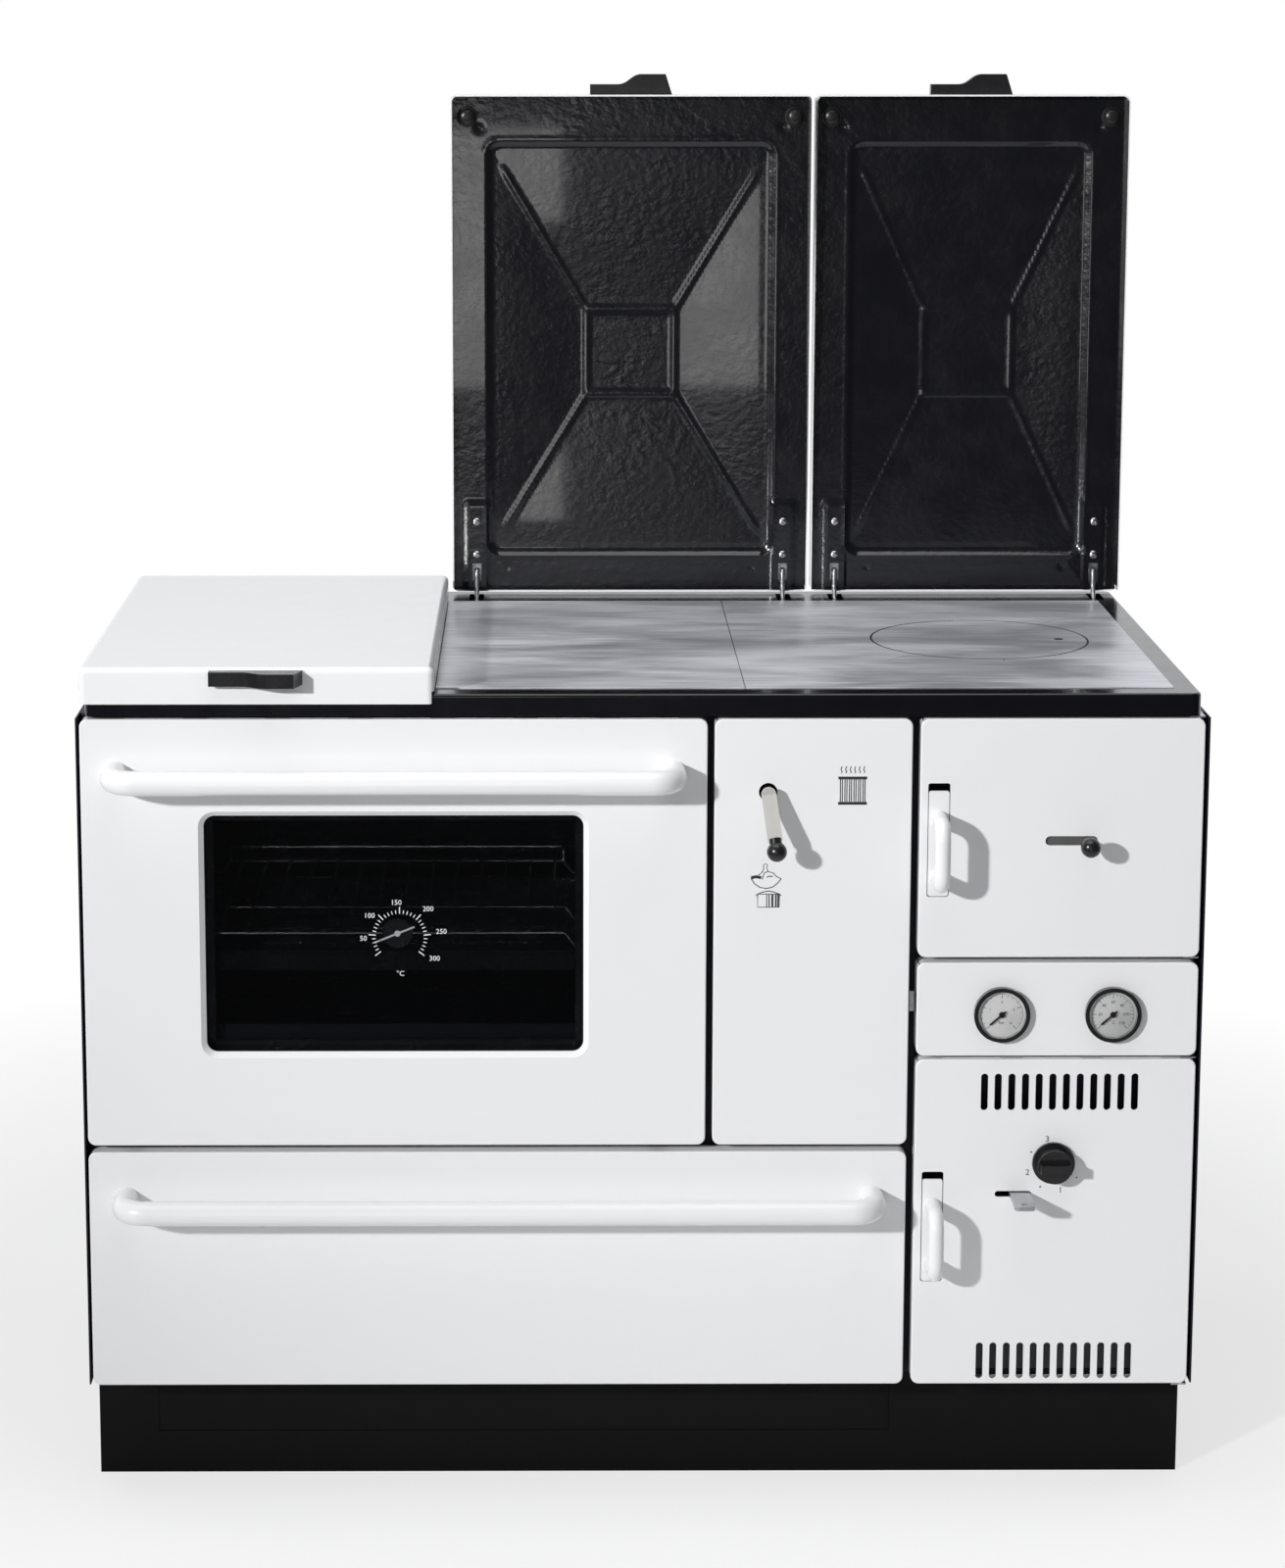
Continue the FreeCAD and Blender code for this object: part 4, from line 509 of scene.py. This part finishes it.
for label, (x, z, numbers, unit) in GAUGES.items():
    place = facing(x, DIAL_Y, z)
    face, ring, print_on, lens = Sheet(), Sheet(), Sheet(), Sheet()
    lathe(face, [(23.4, 0), (0, 0.05)], place)
    lathe(ring, [(23.5, 0.0), (23.5, 4.2), (24.2, 4.45), (25.2, 4.3), (25.4, 3.8)], place, 72, False)
    fine = 4 * (len(numbers) - 1)
    for i in range(fine + 1):
        turn = math.radians(DIAL_START - DIAL_SWEEP * i / fine)
        inner, width = (16.2, 0.5) if i % 4 == 0 else (18.2, 0.28)
        way = Vector((math.cos(turn), math.sin(turn)))
        stroke(print_on, [tuple(way * inner), tuple(way * 20.4)], width, place)
    for i, words in enumerate(numbers):
        turn = math.radians(DIAL_START - DIAL_SWEEP * i / (len(numbers) - 1))
        text(print_on, words, 4.2, 12.6 * math.cos(turn), 12.6 * math.sin(turn), place)
    text(print_on, unit, 4.4, 0, -8.2, place)
    arc = [(20.6 * math.cos(t), 20.6 * math.sin(t))
           for t in (math.radians(DIAL_START - 5 * k) for k in range(DIAL_SWEEP // 5 + 1))]
    stroke(print_on, arc, 0.25, place)
    face.make(label + "_dial", DIAL, "root", "gauge_metal", smooth=False)
    ring.make(label + "_bezel_ring", BEZEL, "root", "gauge_metal")
    print_on.make(label + "_dial_print", INK, "root", "gauge_metal", smooth=False)
    lathe(lens, [(23.5, 3.7), (0, 3.9)], place, 72, False)
    lens.make(label + "_lens", LENS, "root", "door_glass")


# Oven thermometer scale, printed behind the outer pane ------------------------------------------

SCALE_START, SCALE_SWEEP, SCALE_STEPS = 218, 256, 30    # degrees, clockwise from the start
scale = Sheet()
place = facing(-237.5, -293.0, 579.5)
for i in range(SCALE_STEPS + 1):
    turn = math.radians(SCALE_START - SCALE_SWEEP * i / SCALE_STEPS)
    way = Vector((math.cos(turn), math.sin(turn)))
    outer, width = (30.5, 0.95) if i % 5 == 0 else (27.2, 0.75)
    stroke(scale, [tuple(way * 23.6), tuple(way * outer)], width, place)
for words, x, y in (("50", -35.6, -1.5), ("100", -29.5, 21.5), ("150", -3.2, 34.6), ("200", 28.0, 28.2),
                    ("250", 40.8, 5.4), ("300", 34.0, -21.8), ("°C", 0.5, -37.0)):
    text(scale, words, 7.2, x, y, place)
scale.make("thermometer_scale", WHITE_INK, "oven_door", "needle_white", smooth=False)


# Printed signs ------------------------------------------------------------------------------------

signs = Sheet()
panel = facing(0, FRONT_Y, 0)
left, right, top, low = 189.5, 217.5, 741.5, 713.5
for z in (top - 1.6, low + 1.2):
    stroke(signs, [(left, z), (right, z)], 2.8, panel)
for k in range(6):
    x = left + 3.0 + (right - left - 6.0) * k / 5
    stroke(signs, [(x - 0.9, top - 1), (x - 0.9, low)], 1.0, panel, 0.13)
    stroke(signs, [(x + 1.0, top - 1), (x + 1.0, low)], 1.0, panel, 0.13)
    wisp = [(x + 0.55 * math.sin(t * 1.6), top + 3.2 + t * 1.35) for t in range(6)]
    stroke(signs, wisp, 0.9, panel, 0.13)
bowl = [(105.5, 640), (109, 634.5), (114, 631), (120.5, 629.6), (127, 631.3), (131.5, 635), (135, 639.6)]
stroke(signs, bowl, 0.9, panel)
stroke(signs, [(135, 639.6), (130.5, 641.6), (127, 645.4), (122, 646.8), (118.5, 645.2), (117.2, 641.5),
               (116.5, 638.8)], 0.8, panel)
stroke(signs, [(116.4, 646), (118, 650), (117.6, 653.4), (119.6, 654.4), (121.6, 653.5), (121.0, 650.2),
               (122.0, 646.9)], 0.7, panel)
stroke(signs, [(112.5, 643.0), (115.5, 645.2), (117.0, 647.0)], 0.8, panel)
stroke(signs, [(105.6, 640.3), (110, 641.6), (115.5, 640.6)], 3.0, panel, 0.11)
stroke(signs, [(121, 641.0), (124, 642.2), (126.5, 641.4)], 1.0, panel)
stroke(signs, [(112.2, 624.0), (112.2, 611.0), (133.4, 611.0), (133.4, 624.0)], 0.8, panel)
stroke(signs, [(110.4, 622.6), (112.5, 624.2), (117.5, 626.2), (122.8, 627.2), (128, 626.2), (133, 624.2),
               (135.2, 622.6)], 0.9, panel)
stroke(signs, [(112.2, 624.1), (133.4, 624.1)], 0.7, panel)
for x, width in ((121.0, 0.9), (123.4, 1.1), (126.6, 2.0), (130.0, 1.6), (132.2, 1.5)):
    stroke(signs, [(x, 624), (x, 611)], width, panel, 0.11)
signs.make("middle_panel_signs", INK, "root", "needle_black", smooth=False)

dots = Sheet()
place = facing(407.5, FRONT_Y, 348.6)
for degrees in (330, 240, 150):
    turn = math.radians(degrees)
    lathe(dots, [(0.9, 0.0), (0.9, 0.12), (0, 0.13)],
          place @ Matrix.Translation((26.2 * math.cos(turn), 26.2 * math.sin(turn), 0)), 16)
for words, degrees in (("1", 285), ("2", 197), ("3", 105)):
    turn = math.radians(degrees)
    text(dots, words, 8.6, 27.2 * math.cos(turn), 27.2 * math.sin(turn), place)
dots.make("thermostat_scale", INK, "ash_door", "needle_black", smooth=False)

marker = Sheet()
turn = math.radians(-25)
inner, outer = [(r * math.cos(turn), r * math.sin(turn)) for r in (9.5, 15.5)]
stroke(marker, [inner, outer], 1.1, facing(406.7, -317.1, 351))
marker.make("thermostat_marker", WHITE_INK, "thermostat_knob", "needle_white", smooth=False)

clip = Sheet()
clip.add([(x, y, z) for z in (505.5, 525.5) for y in (-298.5, -296.5) for x in (262.2, 266.6)],
         [[0, 1, 3, 2], [4, 6, 7, 5], [0, 4, 5, 1], [2, 3, 7, 6], [0, 2, 6, 4], [1, 5, 7, 3]])
clip.make("panel_clip", FINISHES["zinc_steel"], "root", "zinc_steel", smooth=False)


# Studio, in metres --------------------------------------------------------------------------------

def studio_floor():
    """A pale round floor that fades into the white around it."""
    rings, steps = (0.0, 0.5, 1.0, 1.5, 2.0, 2.6), 96
    points = [(r * math.cos(2 * math.pi * k / steps), 0.9 + r * math.sin(2 * math.pi * k / steps), 0)
              for r in rings[1:] for k in range(steps)] + [(0, 0.9, 0)]
    faces = [[len(points) - 1, k, (k + 1) % steps] for k in range(steps)]
    for ring in range(len(rings) - 2):
        for k in range(steps):
            a, b = ring * steps + k, ring * steps + (k + 1) % steps
            faces.append([a, a + steps, b + steps, b])
    mesh = bpy.data.meshes.new("floor")
    mesh.from_pydata(points, [], faces)
    made = bpy.data.objects.new("floor", mesh)
    bpy.context.collection.objects.link(made)
    paper = Finish("floor_paper", (0.93, 0.93, 0.93), 0.85, specular=0.1)
    paper.relief(paper.noise(600), 0.1, 0.0002)
    place = paper.node("ShaderNodeTexCoord")
    away = paper.node("ShaderNodeVectorMath", operation="DISTANCE")
    away.inputs[1].default_value = (0, 0.3, 0)
    paper.link(place.outputs["Object"], away.inputs[0])
    glow = paper.node("ShaderNodeEmission", Strength=1.0)
    mix = paper.node("ShaderNodeMixShader")
    seen = paper.node("ShaderNodeLightPath")
    share = paper.node("ShaderNodeMath", operation="MULTIPLY")
    paper.link(paper.ranged(away.outputs["Value"], 0.7, 1, 0.75, 1.5), share.inputs[0])
    paper.link(seen.outputs["Is Camera Ray"], share.inputs[1])
    paper.link(share.outputs["Value"], mix.inputs["Fac"])
    paper.link(paper.shader.outputs["BSDF"], mix.inputs[1])
    paper.link(glow.outputs["Emission"], mix.inputs[2])
    paper.link(mix.outputs["Shader"], paper.tree.nodes["Material Output"].inputs["Surface"])
    mesh.materials.append(paper.material)


def lamp(name, kind, place, aim, energy, **values):
    data = bpy.data.lights.new(name, kind)
    data.energy = energy
    for key, value in values.items():
        setattr(data, key, value)
    made = bpy.data.objects.new(name, data)
    made.location = place
    made.rotation_euler = (Vector(aim) - Vector(place)).to_track_quat("-Z", "Y").to_euler()
    bpy.context.collection.objects.link(made)
    return made


studio_floor()
lamp("key", "SPOT", (-4.2, -5.1, 2.75), (0.25, -0.3, 1.35), 1660,
     spot_size=math.radians(36), spot_blend=1.0, shadow_soft_size=0.16)
lamp("top_box", "AREA", (-0.3, -0.4, 3.4), (0.0, 0.0, 0.8), 38, shape="RECTANGLE", size=3.0, size_y=2.0)
lamp("lid_box", "AREA", (-0.45, -4.2, 0.85), (0.1, 0.3, 1.1), 5, shape="RECTANGLE", size=0.8, size_y=0.6)

world = bpy.data.worlds.new("studio")
bpy.context.scene.world = world
world.use_nodes = True
tree = world.node_tree


def backdrop(colour, strength):
    made = tree.nodes.new("ShaderNodeBackground")
    made.inputs["Color"].default_value = (*colour, 1)
    made.inputs["Strength"].default_value = strength
    return made.outputs["Background"]


def chosen(factor, otherwise, when):
    made = tree.nodes.new("ShaderNodeMixShader")
    tree.links.new(factor, made.inputs["Fac"])
    tree.links.new(otherwise, made.inputs[1])
    tree.links.new(when, made.inputs[2])
    return made.outputs["Shader"]


def behind_the_cooker():
    """1 towards the white backdrop behind the cooker, falling to 0 towards the dark room in front."""
    place = tree.nodes.new("ShaderNodeTexCoord")
    split = tree.nodes.new("ShaderNodeSeparateXYZ")
    ramp = tree.nodes.new("ShaderNodeMapRange")
    ramp.inputs["From Min"].default_value, ramp.inputs["From Max"].default_value = -0.05, 0.4
    tree.links.new(place.outputs["Generated"], split.inputs["Vector"])
    tree.links.new(split.outputs["Y"], ramp.inputs["Value"])
    return ramp.outputs["Result"]


path = tree.nodes.new("ShaderNodeLightPath")
mirrored = chosen(behind_the_cooker(), backdrop((0.9, 0.93, 1.0), 0.04), backdrop((0.97, 0.98, 1.0), 0.95))
around = chosen(path.outputs["Is Glossy Ray"], backdrop((0.93, 0.95, 1.0), 0.22), mirrored)
through = chosen(path.outputs["Is Transmission Ray"], around, backdrop((1, 1, 1), 1.0))
seen = chosen(path.outputs["Is Camera Ray"], through, backdrop((1, 1, 1), 1.0))
tree.links.new(seen, tree.nodes["World Output"].inputs["Surface"])
